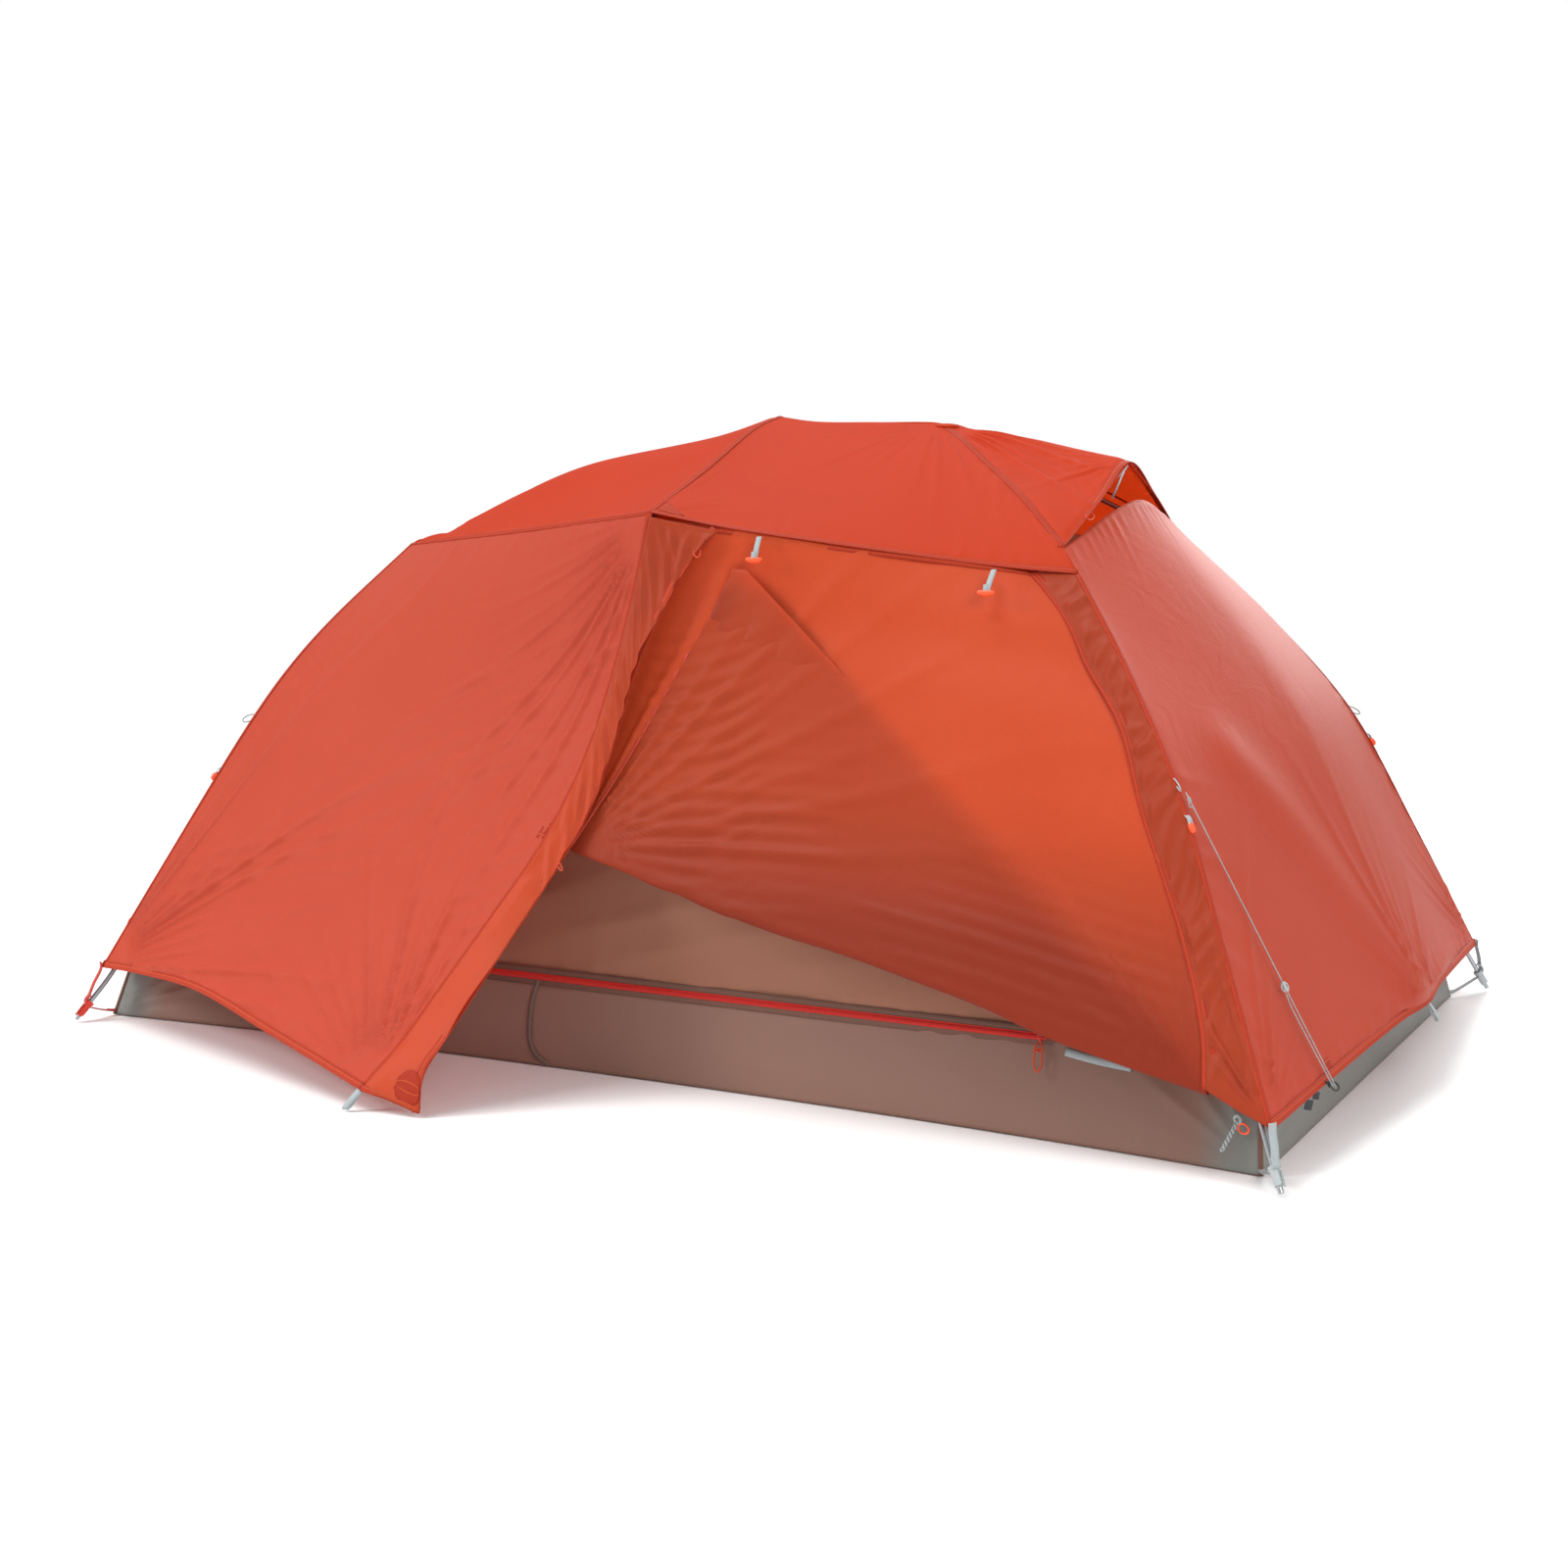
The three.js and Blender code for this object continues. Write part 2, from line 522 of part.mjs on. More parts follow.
// ---- the inner door's zip along the top of the bathtub wall ----
const COIL_RADIUS = 3;
const SLIDER = [16, 7, 11];
const ZIP_LEFT_X = -700;
const ZIP_RIGHT_X = 752;
const SLIDER_X = 740;
const zipPoint = (x, out, z = BATHTUB_HEIGHT) => [x, -tubY(x) - out, z];
const coil = bar(through([zipPoint(ZIP_LEFT_X, 0), zipPoint(ZIP_RIGHT_X, 0)]), COIL_RADIUS, 4);
add("door_zip_coil", coil, ZIP_RED, PLASTIC);
const zipYaw = Math.atan(-tubSlope);
const sliderOut = COIL_RADIUS + 0.5 + SLIDER[1] / 2;
const slider = new THREE.BoxGeometry(...SLIDER).rotateZ(zipYaw).translate(...zipPoint(SLIDER_X, sliderOut));
add("door_zip_slider", slider, RED_PLASTIC, PLASTIC);
const PULL_LENGTH = 48;
const pullTop = at(...zipPoint(SLIDER_X, 14, BATHTUB_HEIGHT - 4));
const pullEnd = at(...zipPoint(SLIDER_X, 30, BATHTUB_HEIGHT - 4 - PULL_LENGTH));
add("door_zip_pull", strap(pullTop, pullEnd, at(1, 0, 0), 8, 3), TOGGLE_ORANGE);

// ---- corner fittings: a socket on each pole foot, a strap to the fly and one to the floor ----
const SOCKET_LENGTH = 30;
const SOCKET_BORE = 6; // radii
const SOCKET_OUTSIDE = 9;
const SOCKET_RISE = 26; // socket's middle, along the pole from its end
const STRAP_ABOVE_SOCKET = 9;
const STRAP_OUT = 12; // the fly strap's end, out from the pole's axis
const FLOOR_STRAP_IN = 16; // the floor strap's end, in from the pole's axis
const FLOOR_STRAP_WIDTH = 12;
for (const [end, { foot, profile, hub }] of Object.entries(ENDS)) {
  for (const side of SIDES) {
    const sign = side === "front" ? -1 : 1;
    const color = end === "foot" && side === "front" ? RED_PLASTIC : GREY_PLASTIC;
    const curve = legCurves[end + side];
    const tSocket = 1 - SOCKET_RISE / curve.getLength();
    const tTop = 1 - (SOCKET_RISE + SOCKET_LENGTH / 2 + STRAP_ABOVE_SOCKET) / curve.getLength();
    const socket = sleeve(curve, tSocket, SOCKET_BORE, SOCKET_OUTSIDE, SOCKET_LENGTH);
    add(`corner_socket_${end}_${side}`, socket, color, PLASTIC);
    const corner = at(...legPoint(hub[0], foot, sign, profile.at(-1)[0], profile.at(-1)[1]));
    const outward = at(foot[0] - hub[0], sign * foot[1], 0).normalize();
    const tangent = at(0, 0, 1).cross(outward);
    const strapTop = corner.addScaledVector(outward, 3).add(at(0, 0, -5));
    const strapEnd = curve.getPointAt(tTop).addScaledVector(outward, STRAP_OUT);
    add(`fly_corner_strap_${end}_${side}`, strap(strapTop, strapEnd, tangent), color);
    const floorX = end === "head" ? FLOOR_HEAD_X : -FLOOR_FOOT_X;
    const floorCorner = at(floorX, sign * (end === "head" ? FLOOR_HEAD_Y : FLOOR_FOOT_Y), 8);
    const socketSide = curve.getPointAt(tSocket).addScaledVector(outward, -FLOOR_STRAP_IN);
    const pull = socketSide.clone().sub(floorCorner).normalize();
    floorCorner.addScaledVector(pull, 6);
    add(`floor_strap_${end}_${side}`, strap(floorCorner, socketSide, tangent, FLOOR_STRAP_WIDTH), color);
  }
}

// ---- trim on the fly ----
const TOGGLE_AT = {
  left: [[196, -470, 911], [199, -493, 876]],
  right: [[579, -398, 863], [582, -437, 830]],
};
const KNOB_RADIUS = 4.5;
const KNOB_LENGTH = 20;
for (const [name, [from, to]] of Object.entries(TOGGLE_AT)) {
  const top = at(...from);
  const low = at(...to);
  const knob = new THREE.CapsuleGeometry(KNOB_RADIUS, KNOB_LENGTH, 3, 8).rotateZ(Math.PI / 2);
  knob.translate(low.x, low.y, low.z - 2);
  add(`door_toggle_${name}`, joined(strap(top, low, at(1, 0, 0), 12, 2), knob), TOGGLE_ORANGE, PLASTIC);
}

const GUY_TOP = [956, -570, 548];
const GUY_END = [1180, -508, 106];
const TENSIONER_AT = 0.66; // share of the line
const TENSIONER = [1.6, 5, 16, 8]; // bore and outer radius, length, sides
const guyCurve = through([GUY_TOP, GUY_END]);
add("guyline", bar(guyCurve, CORD_RADIUS, 6), GREY_WEBBING);
add("guyline_tensioner", sleeve(guyCurve, TENSIONER_AT, ...TENSIONER), GREY_PLASTIC, PLASTIC);

add("vent_strut", strap(at(664, 0, 1016), at(642, 0, 964), at(0, 1, 0), 10, 2), GREY_WEBBING, PLASTIC);

const LOOP_WIDTH = 12;
const LOOP_DROP = [15, -24];
for (const [end, sign] of [["head", 1], ["foot", -1]]) {
  const top = at(sign * (STAKE_OUT_X + 3), 0, STAKE_OUT_Z - 4);
  const low = top.clone().add(at(sign * LOOP_DROP[0], 0, LOOP_DROP[1]));
  add(`stake_loop_${end}`, strap(top, low, at(0, 1, 0), LOOP_WIDTH), GREY_WEBBING);
}
for (const [side, sign] of [["front", -1], ["back", 1]]) {
  const top = at(stake[0] - 5, sign * (VESTIBULE[1] + 6), stake[2] - 5);
  const low = at(stake[0] - 20, sign * (VESTIBULE[1] + 18), 4);
  add(`stake_loop_${side}`, strap(top, low, at(1, 0, 0), LOOP_WIDTH), GREY_WEBBING);
}

export default tent;
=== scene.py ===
import math
from types import SimpleNamespace

import bmesh
import bpy
import numpy as np
from mathutils import Matrix, Vector


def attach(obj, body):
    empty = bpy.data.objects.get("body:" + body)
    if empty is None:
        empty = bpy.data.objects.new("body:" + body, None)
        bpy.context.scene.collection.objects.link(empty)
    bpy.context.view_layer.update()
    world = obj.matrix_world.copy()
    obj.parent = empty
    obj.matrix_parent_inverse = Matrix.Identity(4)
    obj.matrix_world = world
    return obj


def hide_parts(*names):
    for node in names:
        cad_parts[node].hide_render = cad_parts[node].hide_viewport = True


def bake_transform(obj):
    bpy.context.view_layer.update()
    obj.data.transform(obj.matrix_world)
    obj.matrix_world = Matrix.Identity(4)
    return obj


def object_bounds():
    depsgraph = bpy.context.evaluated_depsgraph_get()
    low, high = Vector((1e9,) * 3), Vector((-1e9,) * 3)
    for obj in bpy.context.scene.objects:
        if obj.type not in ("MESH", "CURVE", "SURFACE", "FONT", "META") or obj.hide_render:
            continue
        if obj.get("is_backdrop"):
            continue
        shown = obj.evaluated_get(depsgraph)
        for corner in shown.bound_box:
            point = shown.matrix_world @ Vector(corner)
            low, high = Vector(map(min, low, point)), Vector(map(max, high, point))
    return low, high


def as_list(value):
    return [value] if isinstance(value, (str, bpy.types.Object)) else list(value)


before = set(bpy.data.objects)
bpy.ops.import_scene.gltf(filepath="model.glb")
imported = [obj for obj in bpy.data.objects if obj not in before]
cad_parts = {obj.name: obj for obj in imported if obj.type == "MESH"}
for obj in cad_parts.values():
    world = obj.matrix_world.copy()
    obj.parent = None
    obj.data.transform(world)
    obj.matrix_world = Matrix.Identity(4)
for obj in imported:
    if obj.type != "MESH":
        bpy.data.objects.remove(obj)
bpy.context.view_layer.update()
scene = bpy.context.scene

# camera
cameraSettings = {"at": (2.110, -4.403, 1.115), "yaw": 115.42, "pitch": -7.97, "lens": 61.16}
cameraData = bpy.data.cameras.new("camera")
cameraData.lens = cameraSettings["lens"]
camera = bpy.data.objects.new("camera", cameraData)
camera.location = cameraSettings["at"]
camera.rotation_euler = (
    math.radians(90 + cameraSettings["pitch"]), 0, math.radians(cameraSettings["yaw"] - 90),
)
scene.collection.objects.link(camera)
scene.camera = camera


# curves and surfaces
def mm(*numbers):
    return np.array(numbers, float) / 1000


def evenly(line, count):
    # points the same distance apart along a line
    steps = np.linalg.norm(np.diff(line, axis=0), axis=1)
    along = np.concatenate([[0], np.cumsum(steps)])
    at = np.linspace(0, along[-1], count)
    return np.stack([np.interp(at, along, line[:, k]) for k in range(3)], axis=1)


def smoothCurve(points, tension=None, count=241):
    p = [np.array(q, float) for q in points]
    p = [2 * p[0] - p[1], *p, 2 * p[-1] - p[-2]]
    line = []
    for a, b, c, d in zip(p, p[1:], p[2:], p[3:]):
        if tension is None:
            ka, kb, kc = (max(np.linalg.norm(k) ** 0.5, 1e-5) for k in (b - a, c - b, d - c))
            m1 = ((b - a) / ka - (c - a) / (ka + kb) + (c - b) / kb) * kb
            m2 = ((c - b) / kb - (d - b) / (kb + kc) + (d - c) / kc) * kb
        else:
            m1, m2 = tension * (c - a), tension * (d - b)
        t = np.linspace(0, 1, 24, endpoint=False)[:, None]
        line.append(b + m1 * t + (3 * c - 3 * b - 2 * m1 - m2) * t**2 + (2 * b - 2 * c + m1 + m2) * t**3)
    line.append(p[-2][None])
    return evenly(np.concatenate(line), count)


def curveMm(points, tension=None):
    return smoothCurve(np.array(points, float) / 1000, tension)


def onCurve(curve, t):
    at = np.clip(t, 0, 1) * (len(curve) - 1)
    return np.stack([np.interp(at, np.arange(len(curve)), curve[:, k]) for k in range(3)], axis=-1)


def lengthOf(curve):
    return float(np.linalg.norm(np.diff(curve, axis=0), axis=1).sum())


def flipped(points):
    return [[x, -y, z] for x, y, z in points]


def patch(low, high, left, right):
    # the smooth surface between four edge curves
    c = (low[0], low[-1], high[0], high[-1])

    def surface(u, v):
        u, v = np.broadcast_arrays(np.asarray(u, float), np.asarray(v, float))
        a, b = u[..., None], v[..., None]
        p = onCurve(low, u) * (1 - b) + onCurve(high, u) * b
        p = p + onCurve(left, v) * (1 - a) + onCurve(right, v) * a
        return p - c[0] * (1 - a) * (1 - b) - c[1] * a * (1 - b) - c[2] * (1 - a) * b - c[3] * a * b

    return surface


def mirrorInY(surface):
    return lambda u, v: surface(u, 1 - np.asarray(v, float)) * [1, -1, 1]


def overRidge(half):
    def surface(u, v):
        v = np.asarray(v, float)
        p = half(u, np.where(v < 0.5, 2 * v, 2 - 2 * v))
        return p * np.stack([np.ones_like(p[..., 0]), np.where(v < 0.5, 1, -1) * np.ones_like(p[..., 0]),
                             np.ones_like(p[..., 0])], axis=-1)

    return surface


def smoothStep(low, high, x):
    t = np.clip((x - low) / (high - low), 0, 1)
    return t * t * (3 - 2 * t)


def scatter(k, seed):
    return np.modf(np.abs(np.sin(k * 12.9898 + seed * 78.233) * 43758.5453))[0]


# folds and wrinkles in cloth, as heights over a flat cut
def fan(centre, count, height, near, reach, seed, toward=None, spread=180):
    # creases that run out from a point under tension
    count *= 0.55
    near = max(near, 0.0024 * count)

    def heights(cut):
        away = cut.flat - cut.toFlat(np.array(centre, float) / 1000)
        r = np.hypot(away[..., 0], away[..., 1])
        angle = np.arctan2(away[..., 1], away[..., 0])
        aim = 0
        if toward is not None:
            aim = cut.toFlat(np.array(toward, float) / 1000) - cut.toFlat(np.array(centre, float) / 1000)
            aim = math.atan2(aim[1], aim[0])
        angle = np.mod(angle - aim + math.pi, 2 * math.pi) - math.pi
        phase = (angle + 0.018 * np.sin(r * 9 + seed)) / (2 * math.pi) * count + seed
        k = np.floor(phase)
        f = phase - k
        crest = np.exp(-(((f - 0.5 + 0.3 * (scatter(k, seed) - 0.5)) / 0.16) ** 2))
        fall = smoothStep(near * 0.4, near, r) * np.exp(-((r / (reach * (0.45 + scatter(k, seed + 1)))) ** 2))
        window = 1 - smoothStep(math.radians(spread) * 0.8, math.radians(spread) * 1.05, np.abs(angle))
        return height * (0.35 + 0.65 * scatter(k, seed + 2)) * crest * fall * window

    return heights


def puckers(edge, spacing, height, reach, seed, lean=0.0, span=(0, 1)):
    # short creases that leave a seam

    def heights(cut):
        along, across, share = cut.edges[edge]
        s = along + lean * across + 0.3 * spacing * np.sin(along / spacing * 0.83 + seed)
        k = np.floor(s / spacing)
        f = s / spacing - k
        crest = np.exp(-(((f - 0.5 + 0.3 * (scatter(k, seed) - 0.5)) / 0.21) ** 2))
        fall = np.exp(-across / (reach * (0.35 + 1.1 * scatter(k, seed + 1))))
        window = smoothStep(span[0] - 0.04, span[0] + 0.04, share) * (
            1 - smoothStep(span[1] - 0.04, span[1] + 0.04, share)
        )
        return height * (0.3 + 0.7 * scatter(k, seed + 2)) * crest * fall * window

    return heights


def streaks(start, end, width, count, height, seed, bow=0.0):
    # long creases side by side, from one point towards another

    def heights(cut):
        a, b = (cut.toFlat(np.array(p, float) / 1000) for p in (start, end))
        length = np.linalg.norm(b - a)
        d = (b - a) / length
        away = cut.flat - a
        along = away @ d / length
        across = (away @ np.array([-d[1], d[0]])) / width + bow * (along - 0.5) ** 2
        phase = across * count + 0.14 * np.sin(along * 4 + seed) + seed
        k = np.floor(phase)
        f = phase - k
        crest = np.exp(-(((f - 0.5) / 0.22) ** 2))
        begin = 0.25 * scatter(k, seed)
        mask = smoothStep(begin - 0.1, begin + 0.12, along) * (1 - smoothStep(0.62 + begin, 1.05, along))
        return height * (0.3 + 0.7 * scatter(k, seed + 2)) * crest * mask * np.exp(-((across / 0.6) ** 2))

    return heights


def waves(size, height, seed):
    # the slack that any stretched cloth keeps

    def heights(cut):
        total = 0
        for i in range(6):
            turn = 2 * math.pi * scatter(np.array(i + 1.0), seed)
            rate = (0.6 + 0.9 * scatter(np.array(i + 9.0), seed)) * 2 * math.pi / size
            total = total + np.sin(
                (cut.flat[..., 0] * math.cos(turn) + cut.flat[..., 1] * math.sin(turn)) * rate + i * 1.7
            )
        return height * total / 4

    return heights


def crease(points, width, height):
    # one long fold along a line

    def heights(cut):
        line = cut.toFlat(curveMm(points)[::6])
        gap = np.min(np.linalg.norm(cut.flat[..., None, :] - line, axis=-1), axis=-1)
        return height * np.exp(-((gap / width) ** 2))

    return heights


# meshes
def linkPiece(name, mesh, materials, body="tent", nodes=(), slot=None):
    piece = bpy.data.objects.new(name, mesh)
    scene.collection.objects.link(piece)
    for material in materials:
        mesh.materials.append(material)
    mesh.polygons.foreach_set("use_smooth", [True] * len(mesh.polygons))
    if body:
        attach(piece, body)
    if nodes:
        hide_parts(*nodes)
    return piece


def newShape():
    bm = bmesh.new()
    bm.loops.layers.uv.new("UVMap")
    return bm


def finishShape(name, bm, materials, body="tent", nodes=(), slot=None, thick=0, sharp=40):
    mesh = bpy.data.meshes.new(name)
    bm.to_mesh(mesh)
    bm.free()
    piece = linkPiece(name, mesh, materials, body, nodes, slot)
    mesh.set_sharp_from_angle(angle=math.radians(sharp))
    if thick:
        wall = piece.modifiers.new("thickness", "SOLIDIFY")
        wall.thickness = thick
        wall.offset = 0
    return piece


def addGrid(bm, columns, rows, place, uv, index=0):
    # a grid whose corner (0, 0) to (1, 1) is laid out by place, with uv in metres
    made = bmesh.ops.create_grid(bm, x_segments=columns, y_segments=rows, size=0.5)["verts"]
    layer = bm.loops.layers.uv.active
    at = np.array([(vert.co.x + 0.5, vert.co.y + 0.5) for vert in made])
    points, cut = place(at[:, 0], at[:, 1]), uv(at[:, 0], at[:, 1])
    number = {vert: i for i, vert in enumerate(made)}
    for vert, point in zip(made, points):
        vert.co = point
    faces = {face for vert in made for face in vert.link_faces}
    for face in faces:
        face.material_index = index
        for loop in face.loops:
            loop[layer].uv = cut[number[loop.vert]]
    return list(made), list(faces)


def frames(line):
    # a steady side and up direction at each point of a line
    tangent = np.gradient(line, axis=0)
    tangent /= np.linalg.norm(tangent, axis=1)[:, None]
    side = np.cross(tangent, [0.0, 0.0, 1.0])
    flat = np.linalg.norm(side, axis=1) < 0.05
    side[flat] = np.cross(tangent[flat], [0, 1, 0.01])
    for i in range(1, len(side)):
        side[i] = side[i] - tangent[i] * (side[i] @ tangent[i])
        if side[i] @ side[i - 1] < 0:
            side[i] = -side[i]
    side /= np.linalg.norm(side, axis=1)[:, None]
    return tangent, side, np.cross(side, tangent)


def addTube(bm, line, radius, sides=12):
    # a round bar along a line of points; radius may change along it
    line = np.array(line, float)
    radius = np.broadcast_to(np.asarray(radius, float), len(line))
    _, side, up = frames(line)
    length = lengthOf(line)
    steps = len(line) - 1

    def place(u, v):
        i = np.rint(u * steps).astype(int)
        turn = v * 2 * math.pi
        out = side[i] * np.cos(turn)[:, None] + up[i] * np.sin(turn)[:, None]
        return line[i] + out * radius[i][:, None]

    verts, faces = addGrid(
        bm, steps, sides, place, lambda u, v: np.stack([u * length, v * 2 * math.pi * radius.max()], 1)
    )
    bmesh.ops.remove_doubles(bm, verts=verts, dist=1e-6)
    faces = [face for face in faces if face.is_valid]
    rim = [edge for face in faces for edge in face.edges if len(edge.link_faces) == 1]
    caps = bmesh.ops.holes_fill(bm, edges=list(set(rim)), sides=0)["faces"]
    bmesh.ops.recalc_face_normals(bm, faces=faces + caps)


def addRibbon(bm, line, width, wide, across=2, crown=0.0):
    # a flat strap along a line of points, wide along a direction
    line = np.array(line, float)
    steps = len(line) - 1
    tangent = np.gradient(line, axis=0)
    tangent /= np.linalg.norm(tangent, axis=1)[:, None]
    wide = np.broadcast_to(np.array(wide, float), line.shape)
    wide = wide - tangent * (wide * tangent).sum(1)[:, None]
    wide = wide / np.linalg.norm(wide, axis=1)[:, None]
    normal = np.cross(tangent, wide)
    width = np.broadcast_to(np.asarray(width, float), len(line))
    length = lengthOf(line)

    def place(u, v):
        i = np.rint(u * steps).astype(int)
        lift = crown * (1 - (2 * v - 1) ** 2)
        return line[i] + wide[i] * ((v - 0.5) * width[i])[:, None] + normal[i] * lift[:, None]

    addGrid(bm, steps, across, place, lambda u, v: np.stack([u * length, (v - 0.5) * width.max()], 1))


def addSpin(bm, profile, centre, axis, steps=20):
    # a turned shape: profile is radius and height in millimetres
    turn = Vector((0, 0, 1)).rotation_difference(Vector(axis)).to_matrix().to_4x4()
    turn = Matrix.Translation(Vector(centre)) @ turn
    verts = [bm.verts.new((r / 1000, 0, z / 1000)) for r, z in profile]
    edges = [bm.edges.new(pair) for pair in zip(verts, verts[1:])]
    bmesh.ops.spin(
        bm, geom=verts + edges, cent=(0, 0, 0), axis=(0, 0, 1), angle=2 * math.pi, steps=steps,
        use_merge=True,
    )
    faces = {face for item in verts for face in item.link_faces}
    queue = list(faces)
    while queue:
        for edge in queue.pop().edges:
            for other in edge.link_faces:
                if other not in faces:
                    faces.add(other)
                    queue.append(other)
    points = list({vert for face in faces for vert in face.verts})
    bmesh.ops.remove_doubles(bm, verts=points, dist=1e-6)
    faces = [face for face in faces if face.is_valid]
    bmesh.ops.recalc_face_normals(bm, faces=faces)
    points = list({vert for face in faces for vert in face.verts})
    bmesh.ops.transform(bm, matrix=turn, verts=points)


def addBlock(bm, size, centre, axis=(0, 0, 1), forward=(1, 0, 0), bevel=0.0006):
    # a box with rounded edges: size in millimetres, its Z along axis and X near forward
    z = Vector(axis).normalized()
    x = Vector(forward)
    x = (x - z * x.dot(z)).normalized()
    turn = Matrix((x, z.cross(x), z)).transposed().to_4x4()
    made = bmesh.ops.create_cube(bm, size=1, matrix=Matrix.Diagonal((*mm(*size), 1)))["verts"]
    edges = list({edge for vert in made for edge in vert.link_edges})
    done = bmesh.ops.bevel(
        bm, geom=made + edges, offset=bevel, offset_type="OFFSET", segments=2, profile=0.5,
        affect="EDGES", material=-1,
    )
    faces = set(done["faces"])
    for vert in list(done["verts"]):
        faces.update(vert.link_faces)
    points = list({vert for face in faces for vert in face.verts})
    bmesh.ops.transform(bm, matrix=Matrix.Translation(Vector(centre)) @ turn, verts=points)


# materials
def newMaterial(name):
    material = bpy.data.materials.new(name)
    material.use_nodes = True
    tree = material.node_tree
    shader = tree.nodes["Principled BSDF"]
    return material, tree, shader, tree.nodes["Material Output"]


def node(tree, kind, inputs=(), **values):
    made = tree.nodes.new("ShaderNode" + kind)
    for key, value in values.items():
        setattr(made, key, value)
    for key, value in dict(inputs).items():
        if isinstance(value, bpy.types.NodeSocket):
            tree.links.new(value, made.inputs[key])
        else:
            made.inputs[key].default_value = value
    return made


def maths(tree, operation, a, b=0.0):
    return node(tree, "Math", {0: a, 1: b}, operation=operation).outputs[0]


def mixColour(tree, factor, a, b):
    made = node(tree, "Mix", {0: factor, 6: a, 7: b}, data_type="RGBA")
    return made.outputs[2]


def colour(hexNumber):
    parts = [((hexNumber >> shift) & 255) / 255 for shift in (16, 8, 0)]
    linear = [c / 12.92 if c <= 0.04045 else ((c + 0.055) / 1.055) ** 2.4 for c in parts]
    return (*linear, 1)


def clothMaterial(name, look):
    # coated ripstop: a fine square grid of thicker threads, a soft sheen, and light that comes through
    material, tree, shader, out = newMaterial(name)
    uv = node(tree, "UVMap", uv_map="UVMap").outputs[0]
    place = node(tree, "TexCoord").outputs["Object"]
    turned = node(
        tree, "Mapping",
        {"Vector": uv, "Rotation": (0, 0, look.get("turn", 0)), "Scale": (1 / look["cell"],) * 3}
    ).outputs[0]
    grid = node(
        tree, "TexBrick",
        {
            "Vector": turned, "Color1": (0, 0, 0, 1), "Color2": (0.12, 0.12, 0.12, 1),
            "Mortar": (1, 1, 1, 1), "Scale": 1.0, "Mortar Size": look.get("thread", 0.09),
            "Mortar Smooth": 0.4, "Brick Width": 1.0, "Row Height": 1.0,
        },
        offset=0.0, squash=1.0
    ).outputs["Color"]
    mottle = node(tree, "TexNoise", {"Vector": place, "Scale": 5.0, "Detail": 3.0}).outputs["Fac"]
    fine = node(tree, "TexNoise", {"Vector": uv, "Scale": 900.0, "Detail": 1.0}).outputs["Fac"]
    # the "shade" attribute mixes the colour, and the light that comes through, towards look["dark"]: painted
    # shade on the door, jamb and flap; on the bathtub walls it greys the corners
    shade = node(tree, "Attribute", attribute_name="shade").outputs["Fac"]
    base = mixColour(tree, mottle, colour(look["base"]), colour(look["other"]))
    base = mixColour(
        tree, maths(tree, "MULTIPLY", grid, look.get("gridShade", 0.25)), base, colour(look["grid"])
    )
    base = mixColour(tree, shade, base, colour(look["dark"]))
    tree.links.new(base, shader.inputs["Base Color"])
    shader.inputs["Roughness"].default_value = look.get("rough", 0.45)
    shader.inputs["Sheen Weight"].default_value = look.get("sheen", 0.08)
    shader.inputs["Sheen Roughness"].default_value = 0.4
    shader.inputs["Sheen Tint"].default_value = colour(look.get("sheenTint", 0xFFD8CC))
    shader.inputs["Specular IOR Level"].default_value = look.get("specular", 0.3)
    slack = node(
        tree, "TexNoise",
        {"Vector": place, "Scale": 13.0, "Detail": 3.0, "Roughness": 0.5, "Distortion": 1.6}
    ).outputs["Fac"]
    weave = node(tree, "Bump", {"Height": slack, "Strength": 0.16, "Distance": 0.006}).outputs[0]
    weave = node(
        tree, "Bump", {"Height": grid, "Strength": 0.25, "Distance": 0.0003, "Normal": weave}
    ).outputs[0]
    weave = node(
        tree, "Bump", {"Height": fine, "Strength": 0.12, "Distance": 0.0003, "Normal": weave}
    ).outputs[0]
    tree.links.new(weave, shader.inputs["Normal"])
    if look.get("through"):
        glow = mixColour(tree, shade, colour(look["through"]), colour(look["dark"]))
        lit = node(tree, "BsdfTranslucent", {"Color": glow, "Normal": weave}).outputs[0]
        both = node(tree, "MixShader", {0: look["share"], 1: shader.outputs[0], 2: lit}).outputs[0]
        tree.links.new(both, out.inputs["Surface"])
    return material


